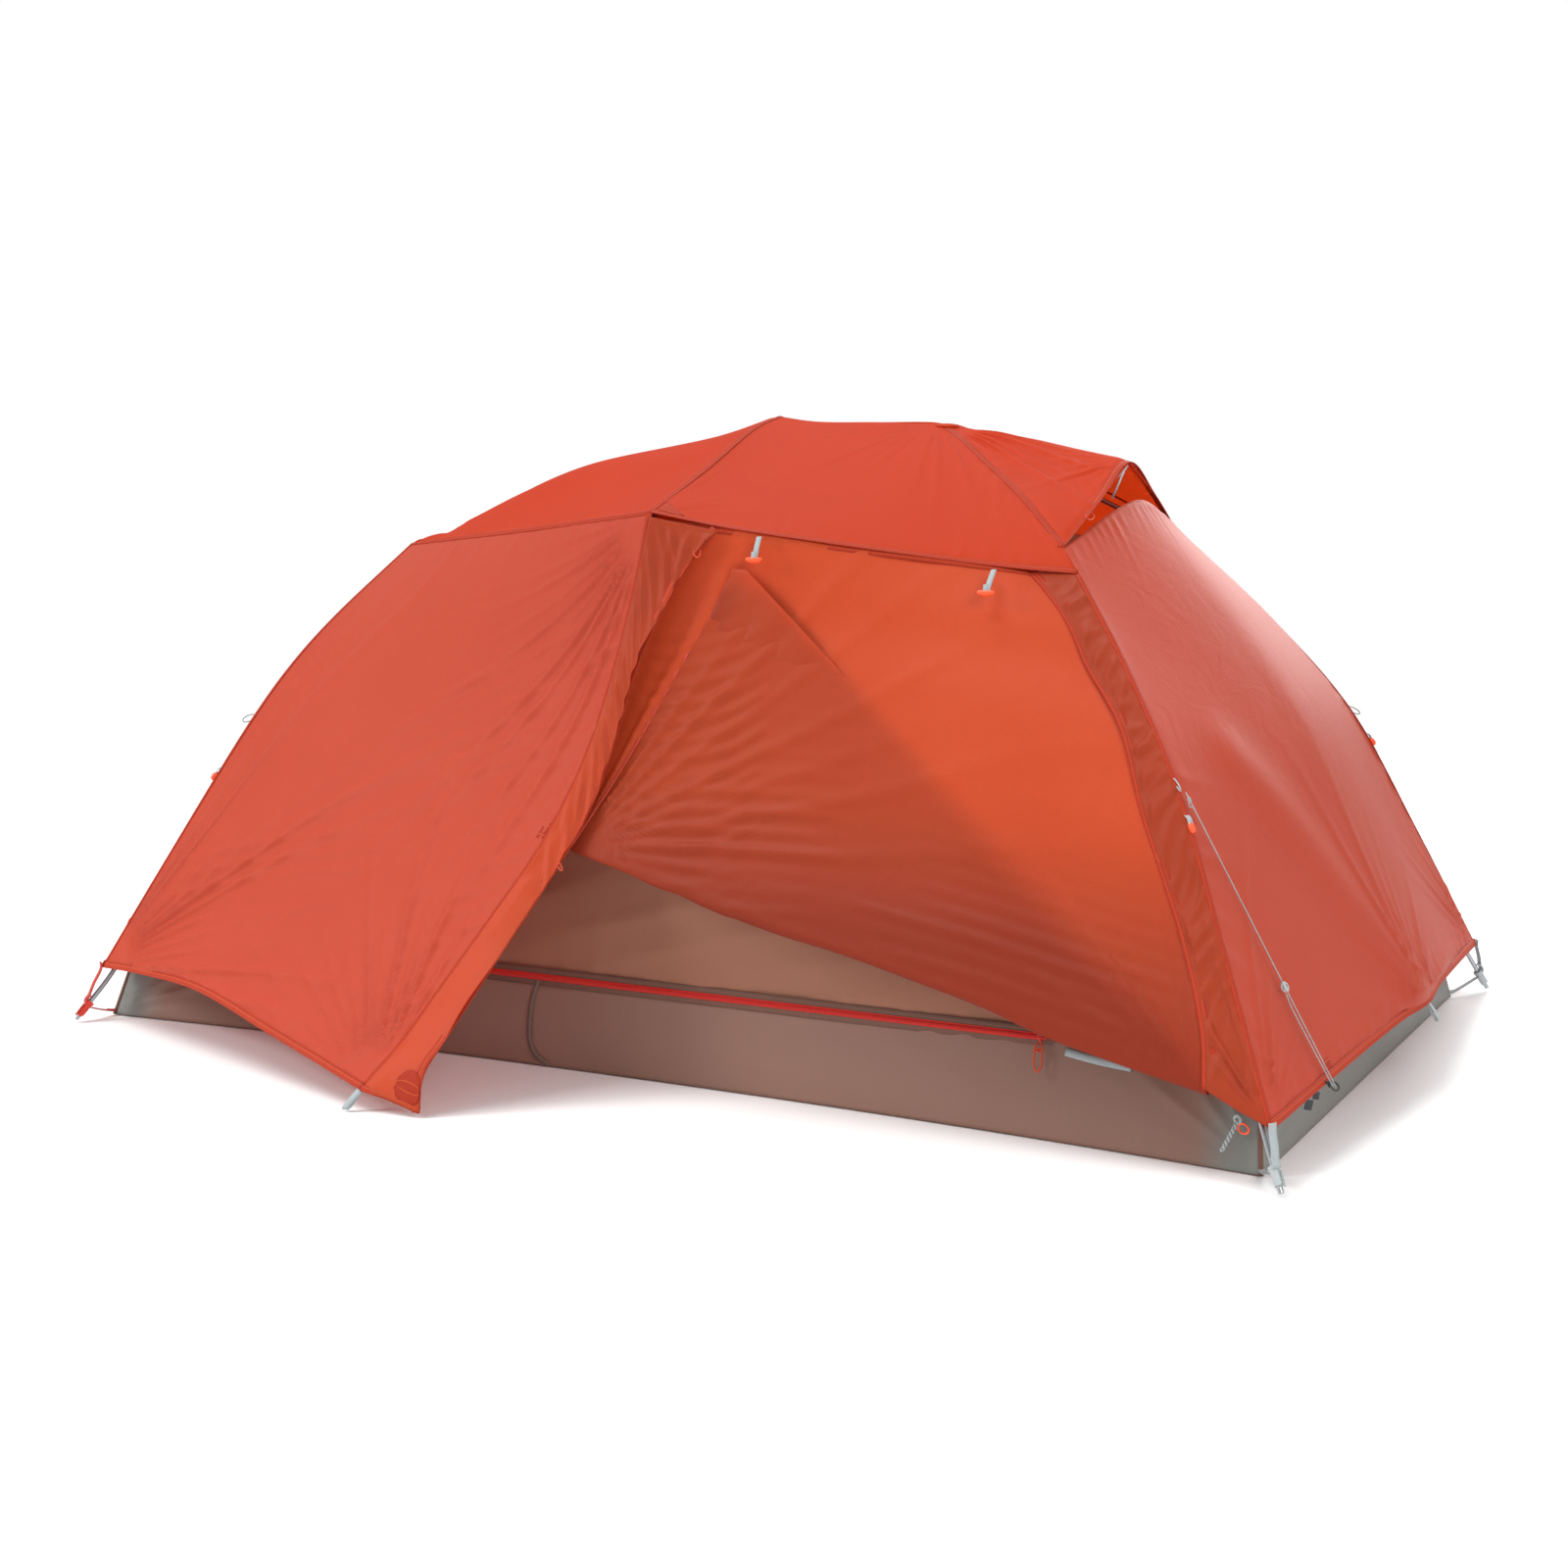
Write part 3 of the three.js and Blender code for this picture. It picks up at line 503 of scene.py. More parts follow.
def seamMaterial(name, look, rows=(-0.0032, 0.0032)):
    # folded and stitched cloth: uv runs along the seam and across it
    material, tree, shader, out = newMaterial(name)
    uv = node(tree, "UVMap", uv_map="UVMap").outputs[0]
    parts = node(tree, "SeparateXYZ", {"Vector": uv}).outputs
    dash = maths(
        tree, "LESS_THAN",
        maths(tree, "FRACT", maths(tree, "DIVIDE", parts[0], look.get("stitch", 0.0032))), 0.68
    )
    line = None
    for row in rows:
        near = maths(
            tree, "LESS_THAN", maths(tree, "ABSOLUTE", maths(tree, "SUBTRACT", parts[1], row)), 0.00045
        )
        line = near if line is None else maths(tree, "MAXIMUM", line, near)
    thread = maths(tree, "MULTIPLY", dash, line)
    pull = node(tree, "TexNoise", {"Vector": uv, "Scale": 120.0, "Detail": 2.0}).outputs["Fac"]
    base = mixColour(tree, pull, colour(look["base"]), colour(look["other"]))
    base = mixColour(tree, thread, base, colour(look["thread"]))
    tree.links.new(base, shader.inputs["Base Color"])
    shader.inputs["Roughness"].default_value = look.get("rough", 0.65)
    shader.inputs["Specular IOR Level"].default_value = 0.15
    bump = node(tree, "Bump", {"Height": pull, "Strength": 0.35, "Distance": 0.0008}).outputs[0]
    bump = node(
        tree, "Bump", {"Height": thread, "Strength": 0.8, "Distance": 0.0004, "Normal": bump}
    ).outputs[0]
    tree.links.new(bump, shader.inputs["Normal"])
    if look.get("through"):
        lit = node(tree, "BsdfTranslucent", {"Color": colour(look["through"])}).outputs[0]
        both = node(tree, "MixShader", {0: look["share"], 1: shader.outputs[0], 2: lit}).outputs[0]
        tree.links.new(both, out.inputs["Surface"])
    return material


def webbingMaterial(name, base, other, rough=0.75):
    # woven strap or braided cord: slanting picks across its length
    material, tree, shader, _ = newMaterial(name)
    uv = node(tree, "UVMap", uv_map="UVMap").outputs[0]
    slant = node(tree, "Mapping", {"Vector": uv, "Rotation": (0, 0, 0.6)}).outputs[0]
    picks = node(
        tree, "TexWave", {"Vector": slant, "Scale": 260.0, "Distortion": 0.6, "Detail": 1.0},
        bands_direction="X"
    ).outputs["Fac"]
    slantBack = node(tree, "Mapping", {"Vector": uv, "Rotation": (0, 0, -0.6)}).outputs[0]
    crossing = node(
        tree, "TexWave", {"Vector": slantBack, "Scale": 260.0, "Distortion": 0.6}, bands_direction="X"
    ).outputs["Fac"]
    weave = maths(tree, "MULTIPLY", picks, crossing)
    tree.links.new(mixColour(tree, weave, colour(other), colour(base)), shader.inputs["Base Color"])
    shader.inputs["Roughness"].default_value = rough
    shader.inputs["Sheen Weight"].default_value = 0.15
    bump = node(tree, "Bump", {"Height": weave, "Strength": 0.6, "Distance": 0.0005}).outputs[0]
    tree.links.new(bump, shader.inputs["Normal"])
    return material


def hardMaterial(name, base, other, rough=0.4, metal=0.0):
    # moulded plastic or metal with a fine grain and worn patches
    material, tree, shader, _ = newMaterial(name)
    place = node(tree, "TexCoord").outputs["Object"]
    wear = node(tree, "TexNoise", {"Vector": place, "Scale": 40.0, "Detail": 4.0}).outputs["Fac"]
    speck = node(tree, "TexNoise", {"Vector": place, "Scale": 1800.0, "Detail": 2.0}).outputs["Fac"]
    tree.links.new(mixColour(tree, wear, colour(base), colour(other)), shader.inputs["Base Color"])
    spread = node(tree, "MapRange", {"Value": wear, "To Min": rough - 0.08, "To Max": rough + 0.1}).outputs[0]
    tree.links.new(spread, shader.inputs["Roughness"])
    shader.inputs["Metallic"].default_value = metal
    bump = node(tree, "Bump", {"Height": speck, "Strength": 0.3, "Distance": 0.00008}).outputs[0]
    tree.links.new(bump, shader.inputs["Normal"])
    return material


# the fly's one fabric in three copies, coloured for how light falls on it: coral for the front-lit walls;
# roof and door are warmer orange, painted light that comes through from behind
looks = {
    "coral": {
        "base": 0xD25A43, "other": 0xCB523B, "grid": 0xB4422E, "dark": 0xB8452F, "through": 0xEC4E22,
        "share": 0.36, "cell": 0.006, "rough": 0.48, "specular": 0.14
    },
    "roof": {
        "base": 0xDC5430, "other": 0xD44C2A, "grid": 0xB83A1E, "dark": 0xB8452F, "through": 0xFF9058,
        "share": 0.5, "cell": 0.006, "rough": 0.5, "specular": 0.12, "sheen": 0.0
    },
    "door": {
        "base": 0xE06034, "other": 0xD9572E, "grid": 0xC04420, "dark": 0xA83A20, "through": 0xF85A1C,
        "share": 0.45, "cell": 0.006, "rough": 0.5
    },
    # innerWall and tub bases are warmed towards orange: a painted cast of the light that comes through the
    # orange fly
    "innerWall": {
        "base": 0xC8927A, "other": 0xBE866E, "grid": 0xA4705A, "dark": 0x8A8880, "through": 0xD88A68,
        "share": 0.42, "cell": 0.004, "rough": 0.7, "specular": 0.25
    },
    "tub": {
        "base": 0x9C786A, "other": 0x946E60, "grid": 0x82604F, "dark": 0x8A8C86, "through": 0xA06A54,
        "share": 0.15, "cell": 0.0055, "rough": 0.42, "turn": 0.785
    },
}
flyCloth = clothMaterial("flyCloth", looks["coral"])
roofGlowCloth = clothMaterial("roofGlowCloth", looks["roof"])
doorGlowCloth = clothMaterial("doorGlowCloth", looks["door"])
innerCloth = clothMaterial("innerCloth", looks["innerWall"])
tubCloth = clothMaterial("tubCloth", looks["tub"])
flySeam = seamMaterial(
    "flySeam",
    {"base": 0xB23A22, "other": 0xA2301C, "thread": 0xD85230, "through": 0xB83A1C, "share": 0.1}
)
flyHem = seamMaterial(
    "flyHem", {"base": 0xB64028, "other": 0xA83620, "thread": 0xD85A3C, "through": 0xB83A1C, "share": 0.1}
)
darkPatch = seamMaterial(
    "darkPatch", {"base": 0xA8341E, "other": 0x982A18, "thread": 0xF07A40}, rows=(-0.008, 0.008)
)
greyTape = seamMaterial(
    "greyTape", {"base": 0x7A594D, "other": 0x6E4E44, "thread": 0x94786C}, rows=(-0.004, 0.004)
)
tubTape = seamMaterial(
    "tubTape", {"base": 0x77645C, "other": 0x6C5A53, "thread": 0x8E7C74}, rows=(-0.002, 0.002)
)
greyWebbing = webbingMaterial("greyWebbing", 0xC3CACB, 0x9BA4A6)
redWebbing = webbingMaterial("redWebbing", 0xE0422E, 0xA82A1A)
greyCord = webbingMaterial("greyCord", 0xC9CDCD, 0x8F9798)
orangeCord = webbingMaterial("orangeCord", 0xFF5A2A, 0xC93A14)
redCord = webbingMaterial("redCord", 0xE23E2C, 0x9E2416)
zipRed = webbingMaterial("zipRed", 0xF42008, 0xD01604, 0.7)
zipPink = webbingMaterial("zipPink", 0xE04632, 0xCE3A28, 0.6)
aluminium = hardMaterial("aluminium", 0xB9BCC0, 0xA4A8AD, 0.3, 0.9)
greyPlastic = hardMaterial("greyPlastic", 0xB4BABB, 0x9EA6A8, 0.42)
redPlastic = hardMaterial("redPlastic", 0xE03A22, 0xC62C18, 0.4)
orangePlastic = hardMaterial("orangePlastic", 0xFF5C28, 0xEE4A18, 0.42)
blackPlastic = hardMaterial("blackPlastic", 0x2A2A2C, 0x202022, 0.5)
darkTab = webbingMaterial("darkTab", 0x4A4C50, 0x34363A)
print("materials made")

# seams, in millimetres on the front half
headLegProfile = [
    (0, 1094), (24, 1088), (90, 1066), (179, 1031), (325, 970), (463, 897), (513, 857), (669, 723),
    (827, 558), (975, 322), (1109, 93)
]
footLegProfile = [(0, 872), (62, 861), (226, 725), (308, 645), (389, 547), (578, 274), (696, 98)]
ends = {
    "head": {"hub": (320, 1094), "foot": (1167, 761), "profile": headLegProfile},
    "foot": {"hub": (-720, 872), "foot": (-1128, 628), "profile": footLegProfile},
}
ventBaseAt, roofEndAt = 5, 6  # where the vent and the roof's side seam meet the head leg
ridgeX, peakZ = 8, 1105


def legPoint(end, side, run, z):
    hubX, foot = ends[end]["hub"][0], ends[end]["foot"]
    reach = math.hypot(foot[0] - hubX, foot[1])
    return [hubX + (foot[0] - hubX) * run / reach, side * foot[1] * run / reach, z]


def legSeam(end, side):
    return [legPoint(end, side, run, z) for run, z in ends[end]["profile"]]


headLeg, footLeg = legSeam("head", -1), legSeam("foot", -1)
crossTip = [ridgeX, -500, 949]
stake = [-296, -925, 34]
ridgeFoot = [[-720, 0, 872], [-391, 0, 1013], [-102, 0, 1068], [ridgeX, 0, peakZ]]
ridgeHead = [[ridgeX, 0, peakZ], [80, 0, 1096], [200, 0, 1095], [320, 0, 1094]]
crossArc = [crossTip, [ridgeX, -294, 1016], [ridgeX, -102, 1085], [ridgeX, 0, peakZ]]
roofSeamFoot = [footLeg[1], [-373, -276, 903], crossTip]
roofSeamHead = [crossTip, [124, -472, 926], [292, -434, 902], [581, -367, 866], headLeg[roofEndAt]]
centreSeam = [
    stake, [-254, -865, 104], [-216, -809, 183], [-165, -738, 288], [-110, -662, 405], [-66, -602, 531],
    [-38, -563, 650], [-9, -523, 815], crossTip
]
frontHem = [footLeg[-1], [-975, -638, 108], [-778, -722, 112], [-560, -814, 78], [-400, -882, 52], stake]
backHem = [stake, [-60, -880, 52], [350, -835, 100], [800, -780, 110], headLeg[-1]]
headHem = [headLeg[-1], [1164, -505, 109], [1197, -140, 133], [1210, 0, 134]]
footHem = [footLeg[-1], [-1150, -350, 120], [-1195, -110, 133], [-1210, 0, 134]]
ventTip = [673, 0, 1029]
ventBase = headLeg[ventBaseAt]
jamb = [
    [628, -353, 857], [668, -375, 824], [718, -410, 775], [755, -440, 722], [833, -502, 635],
    [890, -562, 511], [980, -636, 335], [1032, -702, 210], [1044, -730, 136]
]
fold = [
    [-70, -640, 402], [232, -668, 328], [450, -690, 284], [646, -706, 240], [788, -718, 193],
    [933, -726, 159], [1044, -730, 136]
]
flapEdge = [
    [-187, -925, 8], [-187, -908, 72], [-170, -870, 118], [-125, -775, 240], [-70, -665, 385],
    [-40, -618, 470], [-8, -585, 590], [18, -563, 700], [50, -535, 790], [85, -505, 868], [124, -480, 920]
]
foldApex = [167, -508, 858]


def moved(points, y):
    return [[p[0], p[1] + y, p[2]] for p in points]


def acrossEnd(hem):
    return curveMm(hem + flipped(hem[:-1])[::-1])


surfaces = {}
surfaces["roofFoot"] = overRidge(
    patch(
        curveMm(roofSeamFoot), curveMm(ridgeFoot), curveMm([footLeg[1], ridgeFoot[0]]), curveMm(crossArc)
    )
)
surfaces["roofFront"] = patch(
    curveMm(roofSeamHead), curveMm(ridgeHead + headLeg[1 : ventBaseAt + 1]), curveMm(crossArc),
    curveMm([headLeg[roofEndAt], ventBase])
)
surfaces["roofBack"] = mirrorInY(surfaces["roofFront"])
browTop = [354, 0, 1091]
surfaces["ventBrow"] = overRidge(
    patch(
        curveMm(headLeg[1 : ventBaseAt + 1]), curveMm([browTop, [507, 0, 1064], ventTip]),
        curveMm([headLeg[1], browTop]), curveMm([ventBase, [672, -150, 968], ventTip])
    )
)
sillX, sillZ = ventBase[0] + 2, ventBase[2] - 6
ventSill = [[sillX, ventBase[1], sillZ], [690, 0, 958], [sillX, -ventBase[1], sillZ]]
surfaces["headWall"] = patch(
    acrossEnd(headHem), curveMm(ventSill),
    curveMm(headLeg[ventBaseAt:][::-1]), curveMm(flipped(headLeg[ventBaseAt:])[::-1]))
surfaces["footWall"] = patch(
    acrossEnd(footHem)[::-1], curveMm([flipped(footLeg)[1], [-764, 0, 868], footLeg[1]]),
    curveMm(flipped(footLeg[1:])[::-1]), curveMm(footLeg[1:][::-1]))
surfaces["doorLeft"] = patch(
    curveMm(frontHem), curveMm(roofSeamFoot), curveMm(footLeg[1:][::-1]), curveMm(centreSeam)
)
surfaces["backLeft"] = mirrorInY(surfaces["doorLeft"])
surfaces["backRight"] = mirrorInY(
    patch(
        curveMm(backHem), curveMm(roofSeamHead), curveMm(centreSeam), curveMm(headLeg[roofEndAt:][::-1])
    )
)
flapTop = [ridgeX + 4, -506, 942]
flapFoot = [moved([stake], -3)[0], [-245, -926, 24], flapEdge[0]]
surfaces["stormFlap"] = patch(
    curveMm(flapFoot), curveMm([flapTop, flapEdge[-1]]),
    curveMm(moved(centreSeam[:-1], -3) + [flapTop]), curveMm(flapEdge))
behind, foldDepth = 14, 13  # the door lies behind the flap's seam; between its two layers
doorTop = moved(roofSeamHead[:-1] + [jamb[0]], behind * 0.4)
doorTop[0] = [ridgeX + 14, -488, 936]
doorLeftEdge = moved([fold[0], [-62, -590, 531], [-34, -552, 650], [-2, -512, 815]], behind)
doorFront = patch(
    curveMm(moved(fold, 4)), curveMm(doorTop),
    curveMm([moved(fold, 4)[0]] + doorLeftEdge[1:] + [doorTop[0]]), curveMm(moved(jamb[::-1], 4))
)
behindFold = moved(fold, 4 + foldDepth)
apexLeft = [foldApex[0] - 12, foldApex[1] + foldDepth + 9, foldApex[2]]
apexRight = [foldApex[0] + 12, foldApex[1] + foldDepth + 9, foldApex[2]]
foldedLeft = [behindFold[0], [10, -556 + foldDepth, 560], apexLeft]
foldedRight = [behindFold[-1], [620, -572 + foldDepth, 480], apexRight]
doorBehind = patch(
    curveMm(behindFold), curveMm([apexLeft, apexRight]), curveMm(foldedLeft), curveMm(foldedRight)
)
surfaces["jambStrip"] = patch(
    curveMm([jamb[-1], [1095, -735, 112], headLeg[-1]]), curveMm([jamb[0], headLeg[roofEndAt]]),
    curveMm(jamb[::-1]), curveMm(headLeg[roofEndAt:][::-1]))

frontShare, turnShare = 0.56, 0.035  # of the door's length: its front layer, and the turn at the fold


def doorSheet(u, v):
    # the right door as one sheet: down the front, round the fold, and up behind to its tied corner
    u, v = np.broadcast_arrays(np.asarray(u, float), np.asarray(v, float))
    front = doorFront(u, np.clip(1 - v / frontShare, 0, 1))
    back = doorBehind(u, np.clip((v - frontShare - turnShare) / (1 - frontShare - turnShare), 0, 1))
    f0, b0 = doorFront(u, np.zeros_like(u)), doorBehind(u, np.zeros_like(u))
    down = f0 - doorFront(u, np.full_like(u, 0.04))
    down /= np.linalg.norm(down, axis=-1)[..., None]
    turn = np.clip((v - frontShare) / turnShare, 0, 1)[..., None] * math.pi
    radius = np.linalg.norm(f0 - b0, axis=-1)[..., None] / 2
    bend = (f0 + b0) / 2 + (f0 - b0) / 2 * np.cos(turn) + down * radius * np.sin(turn) * 1.25
    p = np.where(
        (v <= frontShare)[..., None], front,
        np.where((v >= frontShare + turnShare)[..., None], back, bend)
    )
    return p


surfaces["doorRight"] = doorSheet


floorSettings = {
    "footX": -1105, "headX": 1115, "footY": 550, "headY": 672, "curve": 55, "tubFoot": (-1080, 488),
    "tubHead": (1090, 603), "top": 155
}


def floorY(x):
    s = floorSettings
    share = (x - s["footX"]) / (s["headX"] - s["footX"])
    return s["footY"] + (s["headY"] - s["footY"]) * share - s["curve"] * (1 - (2 * share - 1) ** 2)


def tubY(x):
    (x0, y0), (x1, y1) = floorSettings["tubFoot"], floorSettings["tubHead"]
    return y0 + (y1 - y0) * (x - x0) / (x1 - x0)


floorEdge = [[x, -floorY(x), 2] for x in np.linspace(floorSettings["footX"], floorSettings["headX"], 9)]
tubTopFoot = [floorSettings["tubFoot"][0], -floorSettings["tubFoot"][1], floorSettings["top"]]
tubTopHead = [floorSettings["tubHead"][0], -floorSettings["tubHead"][1], floorSettings["top"]]
otherSide = lambda p: flipped([p])[0]


def tubWall(lowLine, a, b):
    return patch(curveMm(lowLine), curveMm([a, b]), curveMm([lowLine[0], a]), curveMm([lowLine[-1], b]))


surfaces["tubFront"] = tubWall(floorEdge, tubTopFoot, tubTopHead)
surfaces["tubBack"] = mirrorInY(surfaces["tubFront"])
surfaces["tubHead"] = tubWall([floorEdge[-1], otherSide(floorEdge[-1])], tubTopHead, otherSide(tubTopHead))
surfaces["tubFoot"] = tubWall([otherSide(floorEdge[0]), floorEdge[0]], otherSide(tubTopFoot), tubTopFoot)
floorHalf = patch(
    curveMm(floorEdge), curveMm([[floorSettings["footX"], 0, 2], [floorSettings["headX"], 0, 2]]),
    curveMm([floorEdge[0], [floorSettings["footX"], 0, 2]]),
    curveMm([floorEdge[-1], [floorSettings["headX"], 0, 2]])
)
surfaces["floor"] = overRidge(floorHalf)
innerHeadEdge = [tubTopHead, [1000, -568, 320], [888, -502, 545], [772, -402, 700], [665, -305, 812]]
innerFootEdge = [tubTopFoot, [-1002, -432, 290], [-893, -288, 520], [-803, -165, 690], [-715, -45, 812]]
innerRoofEdge = [innerFootEdge[-1], [8, -446, 885], innerHeadEdge[-1]]
innerRidge = [[-715, 0, 824], [-391, 0, 950], [ridgeX, 0, 1028], [320, 0, 1026], [665, 0, 850]]
surfaces["innerFront"] = patch(
    curveMm([tubTopFoot, tubTopHead]), curveMm(innerRoofEdge, 0.1), curveMm(innerFootEdge),
    curveMm(innerHeadEdge)
)
surfaces["innerBack"] = mirrorInY(surfaces["innerFront"])
surfaces["innerRoof"] = overRidge(patch(
    curveMm(innerRoofEdge, 0.1), curveMm(innerRidge), curveMm([innerRoofEdge[0], innerRidge[0]]),
    curveMm([innerRoofEdge[2], [665, -150, 840], innerRidge[4]])))
headTop = [innerHeadEdge[-1], [665, -150, 840], innerRidge[4]]
surfaces["innerHead"] = patch(
    curveMm([tubTopHead, otherSide(tubTopHead)]), curveMm(headTop + flipped(headTop[:-1])[::-1]),
    curveMm(innerHeadEdge), curveMm(flipped(innerHeadEdge))
)
footTop = [innerFootEdge[-1], innerRidge[0], otherSide(innerFootEdge[-1])]
surfaces["innerFoot"] = patch(curveMm([otherSide(tubTopFoot), tubTopFoot]), curveMm(footTop[::-1]),
                              curveMm(flipped(innerFootEdge)), curveMm(innerFootEdge))


# sheets of cloth
foldScale = 2.3  # how deep every wrinkle is
clothThick = 0.0009
seamStep = 0.012  # between the rows of a seam's band
tentMiddle = np.array([0, 0, 0.3])


def layOut(surface, columns, rows, folds, sewn, outward):
    # points of a wrinkled sheet, its flat cut in metres and the distances to its edges
    u, v = np.meshgrid(np.linspace(0, 1, columns + 1), np.linspace(0, 1, rows + 1), indexing="ij")
    p = surface(u, v)
    du, dv = np.gradient(p, axis=0), np.gradient(p, axis=1)
    normal = np.cross(du, dv)
    normal /= np.maximum(np.linalg.norm(normal, axis=-1), 1e-12)[..., None]
    middle = p.reshape(-1, 3).mean(0)
    mean = normal.reshape(-1, 3).mean(0)
    mean /= np.linalg.norm(mean)
    sign = 1 if mean @ (middle - np.array(outward)) > 0 else -1
    first = p[-1, :].mean(0) - p[0, :].mean(0)
    first -= mean * (first @ mean)
    first /= np.linalg.norm(first)
    second = np.cross(mean, first)
    toFlat = lambda q: np.stack([(q - middle) @ first, (q - middle) @ second], axis=-1)
    w = np.concatenate([
        np.zeros((1, rows + 1)), np.cumsum(np.linalg.norm(np.diff(p, axis=0), axis=-1), axis=0)
    ])
    h = np.concatenate(
        [np.zeros((columns + 1, 1)), np.cumsum(np.linalg.norm(np.diff(p, axis=1), axis=-1), axis=1)],
        axis=1
    )
    cut = SimpleNamespace(flat=toFlat(p), toFlat=toFlat, edges={
        "left": (h, w, v), "right": (h, w[-1:] - w, v), "low": (w, h, u), "high": (w, h[:, -1:] - h, u)})
    height = foldScale * sum(fold(cut) for fold in folds) if folds else np.zeros_like(u)
    for edge in sewn:
        height = height * smoothStep(0.0, 0.022, cut.edges[edge][1])
    return SimpleNamespace(points=p + normal * (sign * height)[..., None], cut=cut)


def makeSheet(name, surface, columns, rows, material, folds=(), sewn=("left", "right", "low", "high"),
              outward=(0, 0, 0.3), shade=None, nodes=(), slot=None):
    laid = layOut(surface, columns, rows, folds, sewn, outward)
    bm = newShape()
    number = lambda u, v: (np.rint(u * columns).astype(int), np.rint(v * rows).astype(int))
    order = []

    def place(u, v):
        order.append(number(u, v))
        return laid.points[order[0]]

    addGrid(bm, columns, rows, place, lambda u, v: laid.cut.flat[number(u, v)])
    piece = finishShape(name, bm, [material], "tent", nodes, slot, thick=clothThick, sharp=180)
    if shade is not None:
        tone = piece.data.attributes.new("shade", "FLOAT", "POINT")
        tone.data.foreach_set("value", shade(laid.points, laid.cut)[order[0]].astype(np.float32))
    face = piece.data.polygons[len(piece.data.polygons) // 2]
    if np.array(face.normal) @ (np.array(face.center) - np.array(outward)) < 0:
        piece.data.flip_normals()
    return piece


def edgePoints(surface, edge, inset):
    # points on a panel's edge, and that far in from it
    t = np.linspace(0, 1, 401)
    fixed = {"left": (0, 1), "right": (1, 1), "low": (0, 0), "high": (1, 0)}[edge]
    small = 0.02
    inner = 1 - small if fixed[0] else small
    if fixed[1]:
        rim, further = surface(np.full_like(t, fixed[0]), t), surface(np.full_like(t, inner), t)
    else:
        rim, further = surface(t, np.full_like(t, fixed[0])), surface(t, np.full_like(t, inner))
    way = further - rim
    way /= np.maximum(np.linalg.norm(way, axis=1), 1e-9)[:, None]
    return rim, way * inset


def addSeam(bm, line, sides, width=0.010, index=0, lift=0.0):
    # a band of folded cloth on a seam, lying on the panels on its two sides; one side makes a hem
    line = evenly(line, max(8, int(lengthOf(line) / seamStep)))
    ways = []
    for surface, edge in sides:
        rim, way = edgePoints(surface, edge, 1.0)
        near = np.argmin(np.linalg.norm(line[:, None] - rim[None], axis=-1), axis=1)
        ways.append(way[near])
    first = ways[0]
    second = ways[1] if len(ways) > 1 else -ways[0] * 0.12
    tangent = np.gradient(line, axis=0)
    tangent /= np.linalg.norm(tangent, axis=1)[:, None]
    ways = []
    for way in (first, second):
        size = np.linalg.norm(way, axis=1)[:, None]
        square = way - tangent * (way * tangent).sum(1)[:, None]
        ways.append(square / np.maximum(np.linalg.norm(square, axis=1), 1e-9)[:, None] * np.minimum(size, 1))
    first, second = ways
    half = width / 2 if len(sides) > 1 else width
    length, steps = lengthOf(line), len(line) - 1
    away = line - tentMiddle
    normal = np.cross(tangent, first)
    normal *= np.sign((normal * away).sum(1))[:, None]

    def place(u, v):
        i = np.rint(u * steps).astype(int)
        s = (2 * v - 1)[:, None]
        return line[i] + np.where(s > 0, first[i] * s, second[i] * -s) * half + normal[i] * lift

    addGrid(bm, steps, 4, place, lambda u, v: np.stack([u * length, (v - 0.5) * width], 1), index)


